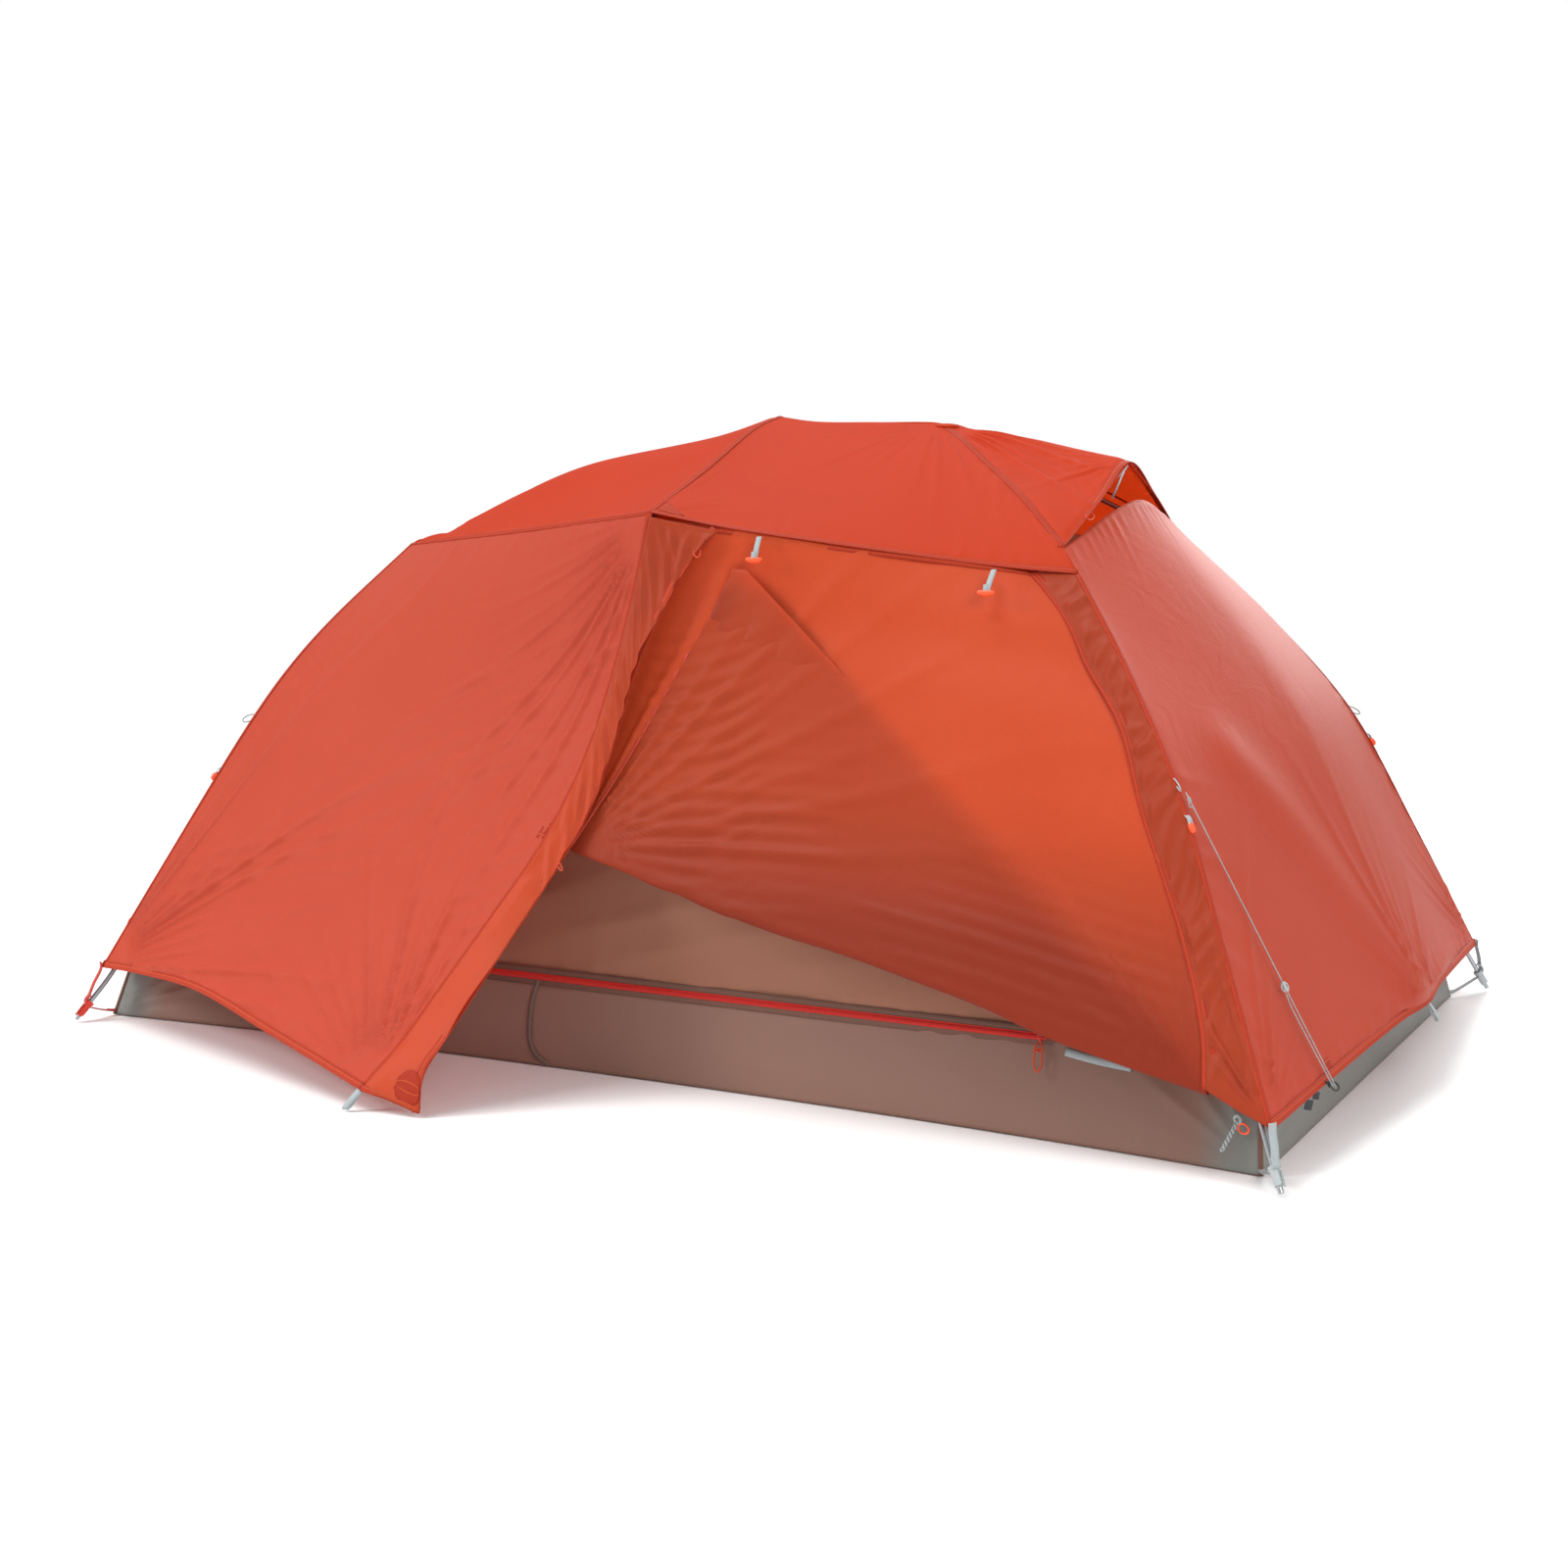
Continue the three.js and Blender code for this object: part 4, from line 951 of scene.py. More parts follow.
# the fly
panelSettings = {
    "roofFoot": {
        "node": "fly_roof_foot", "cells": (96, 120), "cloth": roofGlowCloth,
        "folds": [
            waves(0.5, 0.0016, 3), fan([-715, -10, 868], 60, 0.0022, 0.05, 0.16, 4),
            fan(crossTip, 46, 0.002, 0.04, 0.16, 8), puckers("low", 0.05, 0.0012, 0.03, 2),
            puckers("right", 0.06, 0.001, 0.03, 5)
        ],
    },
    "roofFront": {
        "node": "fly_roof_front", "cells": (130, 80), "cloth": roofGlowCloth,
        "folds": [
            waves(0.45, 0.0015, 5), fan(crossTip, 50, 0.002, 0.04, 0.16, 7),
            fan([320, 0, 1094], 60, 0.0026, 0.05, 0.2, 3),
            puckers("low", 0.045, 0.0014, 0.035, 9, lean=0.3), puckers("high", 0.05, 0.0012, 0.04, 12)
        ],
    },
    "roofBack": {
        "node": "fly_roof_back", "cells": (110, 70), "cloth": roofGlowCloth,
        "folds": [
            waves(0.45, 0.0015, 15), fan([ridgeX, 500, 949], 50, 0.002, 0.04, 0.16, 17),
            fan([320, 0, 1094], 60, 0.0026, 0.05, 0.2, 13), puckers("high", 0.045, 0.0014, 0.035, 19)
        ],
    },
    "ventBrow": {
        "node": "fly_vent_brow", "cells": (80, 110), "cloth": roofGlowCloth,
        "folds": [
            waves(0.25, 0.0012, 6), fan([325, 0, 1092], 90, 0.004, 0.04, 0.22, 6),
            fan([673, 0, 1029], 50, 0.003, 0.03, 0.12, 9), puckers("right", 0.04, 0.0015, 0.04, 4),
            puckers("low", 0.04, 0.0014, 0.03, 14)
        ],
    },
    "headWall": {
        "node": "fly_head_wall", "cells": (150, 130), "cloth": flyCloth,
        "folds": [
            waves(0.6, 0.002, 8), fan(headLeg[-1], 70, 0.004, 0.05, 0.26, 2),
            fan(flipped([headLeg[-1]])[0], 70, 0.004, 0.05, 0.26, 5),
            fan([1210, 0, 134], 46, 0.004, 0.05, 0.24, 11),
            puckers("left", 0.055, 0.002, 0.05, 6, lean=0.5, span=(0, 0.55)),
            puckers("right", 0.055, 0.002, 0.05, 16, lean=0.5, span=(0, 0.6)),
            puckers("high", 0.03, 0.003, 0.03, 3), puckers("low", 0.05, 0.0016, 0.03, 26),
            crease([[1000, -330, 600], [1100, -170, 380], [1205, -20, 150]], 0.06, 0.004)
        ],
    },
    "footWall": {
        "node": "fly_foot_wall", "cells": (130, 110), "cloth": flyCloth,
        "folds": [
            waves(0.5, 0.002, 18), fan(footLeg[-1], 70, 0.004, 0.05, 0.24, 12),
            fan(flipped([footLeg[-1]])[0], 70, 0.004, 0.05, 0.24, 15),
            fan([-1210, 0, 134], 46, 0.004, 0.05, 0.24, 21), puckers("left", 0.055, 0.002, 0.05, 36),
            puckers("right", 0.055, 0.002, 0.05, 46)
        ],
    },
    "doorLeft": {
        "node": "fly_door_left", "cells": (190, 190), "cloth": flyCloth,
        "folds": [
            waves(0.55, 0.0012, 28),
            fan(crossTip, 84, 0.0045, 0.05, 0.5, 22, toward=[-500, -600, 500], spread=80),
            puckers("right", 0.06, 0.0022, 0.11, 7, lean=1.1),
            puckers("low", 0.07, 0.002, 0.05, 17, lean=-0.4),
            fan(footLeg[-1], 96, 0.0048, 0.06, 0.55, 25), fan(stake, 84, 0.0042, 0.06, 0.36, 27),
            streaks([-90, -560, 700], [-560, -520, 520], 0.34, 9, 0.0013, 5),
            streaks([-960, -500, 180], [-420, -760, 420], 0.3, 8, 0.0014, 3),
            puckers("high", 0.06, 0.0016, 0.05, 47)
        ],
    },
    "backLeft": {
        "node": "fly_back_left", "cells": (150, 150), "cloth": flyCloth,
        "folds": [
            waves(0.55, 0.0022, 38), fan([ridgeX, 500, 949], 84, 0.005, 0.05, 0.4, 32),
            puckers("right", 0.05, 0.004, 0.08, 17, lean=0.9),
            fan(flipped([footLeg[-1]])[0], 90, 0.005, 0.06, 0.34, 35),
            fan(flipped([stake])[0], 80, 0.0055, 0.06, 0.36, 37), puckers("high", 0.06, 0.0028, 0.06, 27)
        ],
    },
    "backRight": {
        "node": "fly_back_right", "cells": (190, 160), "cloth": flyCloth,
        "folds": [
            waves(0.6, 0.0022, 48), fan([ridgeX, 500, 949], 84, 0.005, 0.05, 0.4, 42),
            puckers("left", 0.05, 0.004, 0.08, 57, lean=-0.9),
            fan(flipped([headLeg[-1]])[0], 90, 0.005, 0.06, 0.36, 45),
            fan(flipped([stake])[0], 80, 0.0055, 0.06, 0.36, 44), puckers("high", 0.06, 0.0028, 0.06, 67)
        ],
    },
    "jambStrip": {
        # the jamb strip is darkened all over by a painted shade
        "node": "fly_jamb_right", "cells": (40, 220), "cloth": doorGlowCloth, "shade": 0.6,
        "folds": [
            puckers("right", 0.04, 0.0035, 0.05, 58, lean=1.6),
            puckers("left", 0.05, 0.0035, 0.05, 59, lean=-1.4),
            fan(headLeg[-1], 60, 0.004, 0.04, 0.25, 51), waves(0.2, 0.002, 52)
        ],
    },
    "stormFlap": {
        "node": "fly_storm_flap", "cells": (34, 260), "cloth": doorGlowCloth, "sewn": ("left", "high"),
        # painted shade: the flap darker towards its top
        "shade": lambda points, cut: 0.12 + 0.4 * smoothStep(0.42, 0.85, points[..., 2]),
        "folds": [
            puckers("left", 0.05, 0.0045, 0.06, 63, lean=2.2, span=(0.5, 1)),
            puckers("right", 0.06, 0.003, 0.05, 64, lean=-1.8, span=(0.4, 1)),
            puckers("left", 0.06, 0.003, 0.04, 65, lean=0.5, span=(0, 0.6)), waves(0.22, 0.0022, 62)
        ],
    },
}


def doorShade(points, cut):
    # painted shade: darker where the folded part lies behind the front layer and less light comes through,
    # darker towards the bottom, and in a strip beside the flap where its shadow falls
    left, right = curveMm(foldedLeft)[::4], curveMm(foldedRight)[::4]
    x, z = points[..., 0], points[..., 2]
    leftX, rightX = np.interp(z, left[:, 2], left[:, 0]), np.interp(z, right[:, 2], right[:, 0])
    soft = np.interp(z, [0.3, 0.6, 0.86], [0.12, 0.07, 0.03])
    inside = smoothStep(-0.002, 0.004, x - leftX) * (1 - smoothStep(-0.5, 0.5, (x - rightX) / soft))
    inside = inside * (1 - smoothStep(0.8, 0.868, z))
    # painted shade towards the bottom of the door
    low = 1 - smoothStep(0.2, 0.55, z)
    # painted shadow of the flap, in a strip beside it
    besideFlap = 1 - smoothStep(0.0, 0.06, cut.edges["left"][1])
    return np.clip(0.42 * inside + 0.75 * low + 0.3 * besideFlap, 0, 1)


panelSettings["doorRight"] = {
    "node": "fly_door_right", "cells": (250, 190), "cloth": doorGlowCloth, "sewn": ("high",),
    "shade": doorShade,
    "folds": [
        waves(0.45, 0.0012, 72),
        streaks([-40, -590, 560], [260, -570, 600], 0.4, 13, 0.0022, 71, bow=0.4),
        streaks([-50, -600, 430], [420, -640, 440], 0.26, 8, 0.0024, 73),
        streaks([430, -670, 350], [1000, -690, 230], 0.2, 7, 0.0018, 75),
        fan(moved([fold[0]], 4)[0], 70, 0.0032, 0.06, 0.5, 76), fan(jamb[-1], 70, 0.0028, 0.05, 0.34, 77)
    ],
}
for name, s in panelSettings.items():
    shade = s.get("shade")
    if isinstance(shade, float):
        tone = shade
        shade = lambda points, cut, tone=tone: np.full(points.shape[:2], tone)
    divide = 1
    makeSheet(
        name, surfaces[name], s["cells"][0] // divide, s["cells"][1] // divide, s["cloth"], s["folds"],
        sewn=s.get("sewn", ("left", "right", "low", "high")), shade=shade, nodes=[s["node"]],
        slot="fly_cloth",
    )
print("fly panels laid")

# seams and hems of the fly
seamWidth, hemWidth = 0.011, 0.012


def seamCurves(side):
    # the seams and the hems of the fly on one side of the ridge: each one's line and the panels it joins
    turn = (lambda p: p) if side < 0 else flipped
    back = side > 0
    door, right = ("backLeft", "backRight") if back else ("doorLeft", None)
    edge = {"low": "high", "high": "low"} if back else {"low": "low", "high": "high"}
    roofSide = "roofBack" if back else "roofFront"
    halfEdge = "high" if back else "low"  # the edge of a panel over the ridge that lies on this side
    wallEdge = "right" if back else "left"
    rows = [
        (turn(roofSeamFoot), [("roofFoot", halfEdge), (door, edge["high"])]),
        (turn(crossArc), [("roofFoot", "right"), (roofSide, "left")]),
        (turn(footLeg[1:]), [(door, "left"), ("footWall", "left" if back else "right")]),
        (turn(headLeg[roofEndAt:]), [("headWall", wallEdge), (right or "jambStrip", "right")]),
        (turn(headLeg[1 : ventBaseAt + 1]), [("ventBrow", halfEdge), (roofSide, edge["high"])]),
        (turn(roofSeamHead), [(roofSide, edge["low"])] + ([(right, edge["high"])] if back else [])),
    ]
    if back:
        rows.append((turn(centreSeam), [("backLeft", "right"), ("backRight", "left")]))
    hemRows = [(turn(frontHem), [(door, edge["low"])])]
    if back:
        hemRows.append((turn(backHem), [("backRight", "high")]))
    return rows, hemRows


for side, name in ((-1, "frontSeams"), (1, "backSeams")):
    rows, hemRows = seamCurves(side)
    bm = newShape()
    for line, sides in rows:
        addSeam(
            bm, curveMm(line), [(surfaces[p], e) for p, e in sides],
            seamWidth if len(sides) > 1 else 0.009, lift=0.001
        )
    for line, sides in hemRows:
        addSeam(bm, curveMm(line), [(surfaces[p], e) for p, e in sides], hemWidth, index=1, lift=0.0018)
    finishShape(name, bm, [flySeam, flyHem], thick=0.0012, sharp=60)
capSettings = {"foot": ((-737, 0, 870.5), (-0.3, 0, 0.95), [(0, 4), (20, 3), (36, -1), (52, -9)]),
               "head": ((338, 0, 1092), (0.03, 0, 1), [(0, 0.8), (10, 0.4), (18, -1), (25, -4)])}
for name, (at, way, profile) in capSettings.items():
    bm = newShape()
    addSpin(bm, profile, mm(*at), way, 32)
    finishShape(name + "HubCap", bm, [roofGlowCloth], slot="fly_cloth", thick=0.0012, sharp=180)
bm = newShape()
addSeam(bm, acrossEnd(headHem), [(surfaces["headWall"], "low")], hemWidth, lift=0.002)
addSeam(bm, acrossEnd(footHem), [(surfaces["footWall"], "low")], hemWidth, lift=0.002)
addSeam(bm, curveMm(ventSill), [(surfaces["headWall"], "high")], hemWidth)
browEdge = [ventBase, [672, -150, 968], ventTip]
addSeam(bm, curveMm(browEdge + flipped(browEdge[:-1])[::-1]), [(surfaces["ventBrow"], "right")], 0.010)
finishShape("endHems", bm, [flyHem], thick=0.0014, sharp=60)
bm = newShape()
addSeam(
    bm, curveMm(centreSeam), [(surfaces["doorLeft"], "right"), (surfaces["stormFlap"], "left")], 0.012,
    lift=0.0006
)
addSeam(bm, curveMm(flapEdge), [(surfaces["stormFlap"], "right")], 0.012, index=1)
addSeam(bm, curveMm(flapFoot), [(surfaces["stormFlap"], "low")], 0.010, index=1)
finishShape("flapHems", bm, [flySeam, flyHem], thick=0.0014, sharp=60)
bm = newShape()
addSeam(bm, curveMm(doorTop), [(doorFront, "high")], 0.012, lift=0.0012)
addSeam(
    bm, curveMm(moved(jamb[::-1], 2)), [(surfaces["jambStrip"], "left"), (doorFront, "right")], 0.014,
    lift=0.001
)
finishShape("doorHems", bm, [flySeam], thick=0.002, sharp=60)


def onFront(line, lift, surface):
    # a line laid on a panel: for each point the nearest point of the panel, lifted off it
    u, v = np.meshgrid(np.linspace(0, 1, 160), np.linspace(0, 1, 160), indexing="ij")
    p = surface(u, v)
    way = np.cross(np.gradient(p, axis=0), np.gradient(p, axis=1)).reshape(-1, 3)
    flat = p.reshape(-1, 3)
    laid = []
    for point in line:
        near = np.argsort(((flat[:, [0, 2]] - point[[0, 2]]) ** 2).sum(1))[:4]
        normal = way[near].mean(0)
        normal *= -np.sign(normal[1]) / max(np.linalg.norm(normal), 1e-12)
        laid.append([point[0], flat[near, 1].mean() + normal[1] * lift, point[2]])
    return smoothCurve(np.array(laid)[::6])[::4]


bm = newShape()
zipLine = onFront(curveMm(foldedLeft)[::4], 0.0022, doorFront)
addRibbon(bm, zipLine, 0.004, (1, 0, 0.3))
finishShape("foldedDoorZip", bm, [zipPink], slot="zip_red", thick=0.0008, sharp=180)
bm = newShape()
seamZip = onCurve(curveMm(centreSeam), np.linspace(0.21, 0.40, 30)) + mm(5, -3.2, -1)
addRibbon(bm, seamZip, 0.004, (1, 0, 0.4))
finishShape("centreSeamZip", bm, [zipPink], slot="zip_red", thick=0.0008, sharp=180)


# reinforcement patches, sewn on where a loop or a pole pulls
patchSettings = [
    {"on": "stormFlap", "at": (0.76, 0.030), "size": (0.052, 0.056), "round": True},
    {"on": "doorLeft", "at": (0.985, 0.482), "size": (0.016, 0.030)},
    {"on": "jambStrip", "at": (0.50, 0.475), "size": (0.030, 0.026)},
    {"on": "jambStrip", "at": (0.20, 0.05), "size": (0.022, 0.05)},
    {"on": "headWall", "at": (0.178, 0.018), "size": (0.022, 0.020)},
    {"on": "headWall", "at": (0.5, 0.022), "size": (0.05, 0.03)},
    {"on": "roofFront", "at": (0.045, 0.06), "size": (0.045, 0.04), "corner": True},
    {"on": "roofBack", "at": (0.045, 0.94), "size": (0.045, 0.04), "corner": True},
]


def addPatch(bm, surface, at, size, rounded=False, corner=False):
    # a small piece of cloth lying on a panel
    u0, v0 = at
    spots = ((u0, v0), (u0 + 0.01, v0), (u0, v0 + 0.01))
    middle, a, b = (surface(np.array([x]), np.array([y]))[0] for x, y in spots)
    du, dv = np.linalg.norm(a - middle) / 0.01, np.linalg.norm(b - middle) / 0.01
    normal = np.cross(a - middle, b - middle)
    normal /= np.linalg.norm(normal)
    if normal @ (middle - tentMiddle) < 0:
        normal = -normal

    def place(u, v):
        x, y = u * 2 - 1, v * 2 - 1
        if rounded:
            y = y * np.sqrt(np.maximum(1 - 0.9 * x * x, 0.02))
        if corner:
            y = -1 + (y + 1) * (1 - 0.94 * u)
        return surface(u0 + x * size[0] / 2 / du, v0 + y * size[1] / 2 / dv) + normal * 0.0011

    addGrid(bm, 8, 8, place, lambda u, v: np.stack([(u - 0.5) * size[0], (v - 0.5) * size[1]], 1))


bm = newShape()
for s in patchSettings:
    addPatch(
        bm, surfaces[s["on"]], s["at"], s["size"], rounded=s.get("round", False),
        corner=s.get("corner", False)
    )
finishShape("flyPatches", bm, [darkPatch], slot="fly_flap_cloth", thick=0.0009, sharp=180)
print("fly sewn")

# the inner tent
innerSettings = {
    "innerFront": {
        "name": "innerFrontWall", "node": "inner_front_wall", "cells": (190, 80), "cloth": innerCloth,
        "folds": [
            waves(0.5, 0.0015, 3), puckers("low", 0.06, 0.0016, 0.1, 4, lean=0.4),
            fan([-600, -510, 160], 60, 0.002, 0.1, 0.6, 6),
            streaks([-300, -530, 170], [500, -520, 330], 0.3, 5, 0.002, 8)
        ]
    },
    "innerBack": {
        "name": "innerBackWall", "node": "inner_back_wall", "cells": (120, 50), "cloth": innerCloth,
        "folds": [waves(0.5, 0.0015, 13), puckers("high", 0.06, 0.003, 0.1, 14)]
    },
    "innerHead": {
        "name": "innerHeadWall", "node": "inner_head_wall", "cells": (80, 60), "cloth": innerCloth,
        "folds": [waves(0.4, 0.0014, 23)]
    },
    "innerFoot": {
        "name": "innerFootWall", "node": "inner_foot_wall", "cells": (70, 60), "cloth": innerCloth,
        "folds": [waves(0.4, 0.0014, 33)]
    },
    "innerRoof": {
        "name": "innerRoof", "node": "inner_roof", "cells": (110, 60), "cloth": innerCloth,
        "folds": [waves(0.5, 0.002, 43)]
    },
    "tubFront": {
        "name": "tubFrontWall", "cells": (280, 26), "cloth": tubCloth, "outward": (0, 0, 0.1),
        "folds": [
            waves(0.35, 0.0008, 53), fan([1112, -670, 5], 46, 0.0035, 0.03, 0.3, 54),
            fan([-1102, -548, 5], 46, 0.003, 0.03, 0.25, 55),
            puckers("high", 0.07, 0.0012, 0.05, 56, lean=0.5)
        ]
    },
    "tubBack": {
        "name": "tubBackWall", "cells": (200, 20), "cloth": tubCloth, "outward": (0, 0, 0.1),
        "folds": [
            waves(0.35, 0.001, 63), fan([1112, 670, 5], 46, 0.006, 0.03, 0.3, 64),
            fan([-1102, 548, 5], 46, 0.006, 0.03, 0.25, 65)
        ]
    },
    "tubHead": {
        "name": "tubHeadWall", "cells": (110, 20), "cloth": tubCloth, "outward": (0, 0, 0.1),
        "folds": [
            waves(0.3, 0.001, 73), fan([1112, -670, 5], 40, 0.005, 0.03, 0.3, 74),
            fan([1112, 670, 5], 40, 0.005, 0.03, 0.3, 75)
        ]
    },
    "tubFoot": {
        "name": "tubFootWall", "cells": (90, 20), "cloth": tubCloth, "outward": (0, 0, 0.1),
        "folds": [
            waves(0.3, 0.001, 83), fan([-1102, -548, 5], 40, 0.005, 0.03, 0.3, 84),
            fan([-1102, 548, 5], 40, 0.005, 0.03, 0.3, 85)
        ]
    },
    "floor": {
        "name": "tentFloor", "node": "inner_floor", "cells": (120, 60), "cloth": tubCloth,
        "outward": (0, 0, 5), "folds": [waves(0.4, 0.0006, 93)]
    },
}


def cornerTone(points, cut):
    # the floor's walls are greyer near its four corners
    nearCorner = smoothStep(0.985, 1.075, np.abs(points[..., 0]))
    return nearCorner * (1 - smoothStep(0.1, 0.16, points[..., 2]))


for name, s in innerSettings.items():
    tub = name.startswith("tub")
    makeSheet(
        s["name"], surfaces[name], s["cells"][0] // divide, s["cells"][1] // divide, s["cloth"],
        s["folds"], outward=s.get("outward", (0, 0, 0.3)), shade=cornerTone if tub else None,
        nodes=[s["node"]] if "node" in s else [],
        slot="floor_cloth" if tub or name == "floor" else "inner_cloth",
    )
bm = newShape()
for line, pair in (
    ([tubTopFoot, tubTopHead], [("tubFront", "high"), ("innerFront", "low")]),
    (flipped([tubTopFoot, tubTopHead]), [("tubBack", "low"), ("innerBack", "high")]),
    (innerFootEdge, [("innerFront", "left"), ("innerFoot", "right")]),
    (flipped(innerFootEdge), [("innerBack", "left"), ("innerFoot", "left")]),
    (innerHeadEdge, [("innerFront", "right"), ("innerHead", "left")]),
    (flipped(innerHeadEdge), [("innerBack", "right"), ("innerHead", "right")]),
    ([floorEdge[-1], tubTopHead], [("tubFront", "right"), ("tubHead", "left")]),
    (flipped([floorEdge[-1], tubTopHead]), [("tubBack", "right"), ("tubHead", "right")]),
    ([floorEdge[0], tubTopFoot], [("tubFront", "left"), ("tubFoot", "right")]),
    (flipped([floorEdge[0], tubTopFoot]), [("tubBack", "left"), ("tubFoot", "left")]),
    ([tubTopHead, otherSide(tubTopHead)], [("tubHead", "high"), ("innerHead", "low")]),
    ([tubTopFoot, otherSide(tubTopFoot)], [("tubFoot", "high"), ("innerFoot", "low")]),
):
    addSeam(bm, curveMm(line), [(surfaces[p], e) for p, e in pair], 0.010, lift=0.0012)
finishShape("innerSeams", bm, [greyTape], slot="inner_cloth", thick=0.0016, sharp=60)
tubSeamLine = [(0.409, 0.97), (0.404, 0.75), (0.402, 0.5), (0.403, 0.26), (0.408, 0.12), (0.42, 0.02)]
seamLine = np.concatenate([surfaces["tubFront"](np.array([u]), np.array([v])) for u, v in tubSeamLine])
bm = newShape()
addRibbon(bm, smoothCurve(seamLine + mm(0, -3.2, 0.6))[::10], 0.007, (1, 0, 0))
finishShape("tubSeam", bm, [tubTape], slot="floor_cloth", thick=0.001, sharp=60)

# the inner door's zip
zipSettings = {
    "from": -700, "to": 752, "z": 155, "turnUp": 110, "tape": 0.015, "pitch": 0.0030, "coil": 0.0022,
    "wire": 0.0011
}
s = zipSettings
zipAt = lambda x, out, z=155: [x, -tubY(x) - out, z]
straight = curveMm([zipAt(x, 3.6) for x in (s["from"], 0, s["to"] - 12)])
bend = [zipAt(s["to"] - 12, 3.6), zipAt(s["to"] - 3, 3.6, s["z"] + 4), zipAt(s["to"], 3.0, s["z"] + 14)]
bend = curveMm(bend + [zipAt(s["to"], -16, s["z"] + s["turnUp"])])
zipPath = evenly(np.concatenate([straight, bend[1:]]), 500)
tapeWide = np.cross(np.gradient(zipPath, axis=0), [0, 1, 0])
bm = newShape()
addRibbon(bm, zipPath, s["tape"] * 2.1, tapeWide, across=4)
finishShape("doorZipTapes", bm, [greyTape], slot="inner_cloth", thick=0.001, sharp=180)
turns = int(lengthOf(zipPath) / s["pitch"])
turns = turns
spiral = evenly(zipPath, turns * 8 + 1) + mm(0, -3.6, 0)
_, sideways, upwards = frames(spiral)
angle = np.arange(len(spiral)) * math.pi / 4
around = sideways * np.cos(angle)[:, None] * 0.45 + upwards * np.sin(angle)[:, None]
spiral = spiral + around * s["coil"] * 1.15
bm = newShape()
addTube(bm, spiral, s["wire"], sides=5)
coreLine = evenly(zipPath, 200)
addRibbon(bm, coreLine + mm(0, -2.2, 0), 0.0110, np.cross(np.gradient(coreLine, axis=0), [0, 1, 0]))
finishShape("doorZipCoil", bm, [zipRed], nodes=["door_zip_coil"], slot="zip_red", sharp=180)
sliderAt = mm(*zipAt(740, 7))
along = Vector((floorSettings["headX"] - floorSettings["footX"], -(603 - 488), 0)).normalized()
bm = newShape()
addBlock(bm, (15, 9, 2.2), sliderAt + mm(0, 2.2, 0), axis=(0.05, -1, 0), forward=along, bevel=0.0009)
addBlock(bm, (13, 8, 1.8), sliderAt + mm(0, -2.0, 0), axis=(0.05, -1, 0), forward=along, bevel=0.0008)
bridge = [(740 + dx, -tubY(740) - 7 - dy, 155) for dx, dy in ((-5, 2.5), (-3, 6), (3, 6), (6, 2.5))]
addTube(bm, curveMm(bridge)[::20], 0.0011, 8)
finishShape(
    "doorZipSlider", bm, [redPlastic], body="zip_slider", nodes=["door_zip_slider"], slot="slider_red",
    sharp=35
)
pullSettings = {"top": (740, 14, 151), "low": (741, 29, 106), "width": 5.5}
x, out, z = pullSettings["top"]
x1, out1, z1 = pullSettings["low"]
wide = pullSettings["width"]
pullLine = curveMm([
    zipAt(x, out - 2, z), zipAt(x - wide, out + 4, z - 8), zipAt(x - wide - 1, out + 8, z - 24),
    zipAt(x1 - wide, out1 - 2, z1 + 6), zipAt(x1, out1, z1 - 1), zipAt(x1 + wide, out1 - 2, z1 + 6),
    zipAt(x + wide + 1, out + 8, z - 24), zipAt(x + wide, out + 4, z - 8), zipAt(x, out - 1, z + 1)
])
bm = newShape()
addTube(bm, pullLine[::4], 0.0014, 8)
knotSteps = ((-4, 4, -12), (0, 8, -11), (4, 5, -12), (0, 2, -14), (-4, 5, -15), (3, 9, -16))
addTube(bm, curveMm([zipAt(x + dx, out + dy, z + dz) for dx, dy, dz in knotSteps])[::8], 0.0015, 8)
finishShape(
    "doorZipPull", bm, [orangeCord], body="zip_pull", nodes=["door_zip_pull"], slot="pull_cord", sharp=180
)
bm = newShape()
addRibbon(bm, curveMm([[780, -594, 136], [836, -600, 129], [890, -605, 125]])[::10], 0.012, (0, 0.25, 1))
finishShape("floorWebbing", bm, [greyWebbing], slot="grey_webbing", thick=0.0016)
print("inner tent made")

# poles
poleSettings = {"radius": 0.0044, "inset": 17, "joint": 0.52, "hubRadius": 17.5, "ferrule": 0.0052}


def polePoints(end, side):
    hub, foot, profile = ends[end]["hub"], ends[end]["foot"], ends[end]["profile"]
    reach = math.hypot(foot[0] - hub[0], foot[1])
    inner = []
    for i, (run, z) in enumerate(profile):
        (r0, z0), (r1, z1) = profile[max(i - 1, 0)], profile[min(i + 1, len(profile) - 1)]
        size = math.hypot(r1 - r0, z1 - z0)
        inner.append([
            run + poleSettings["inset"] * (z1 - z0) / size, z - poleSettings["inset"] * (r1 - r0) / size
        ])
    inner[-1][0] -= 6
    inner.append([reach, 6])
    points = [legPoint(end, side, run, z) for run, z in inner]
    points[0] = [hub[0], 0, hub[1] - poleSettings["inset"]]
    return points


def makePole(name, curve, t0, t1, cadNode, ferrule=True):
    bm = newShape()
    line = onCurve(curve, np.linspace(t0, t1, 48))
    addTube(bm, line, poleSettings["radius"], 14)
    if ferrule:
        last = onCurve(curve, np.linspace(t1 - 0.055 * (t1 - t0), t1, 6))
        addTube(bm, last, [0.0046, 0.0052, 0.0052, 0.0052, 0.0052, 0.0048], 14)
    finishShape(name, bm, [aluminium], nodes=[cadNode], slot="pole_aluminium", sharp=50)


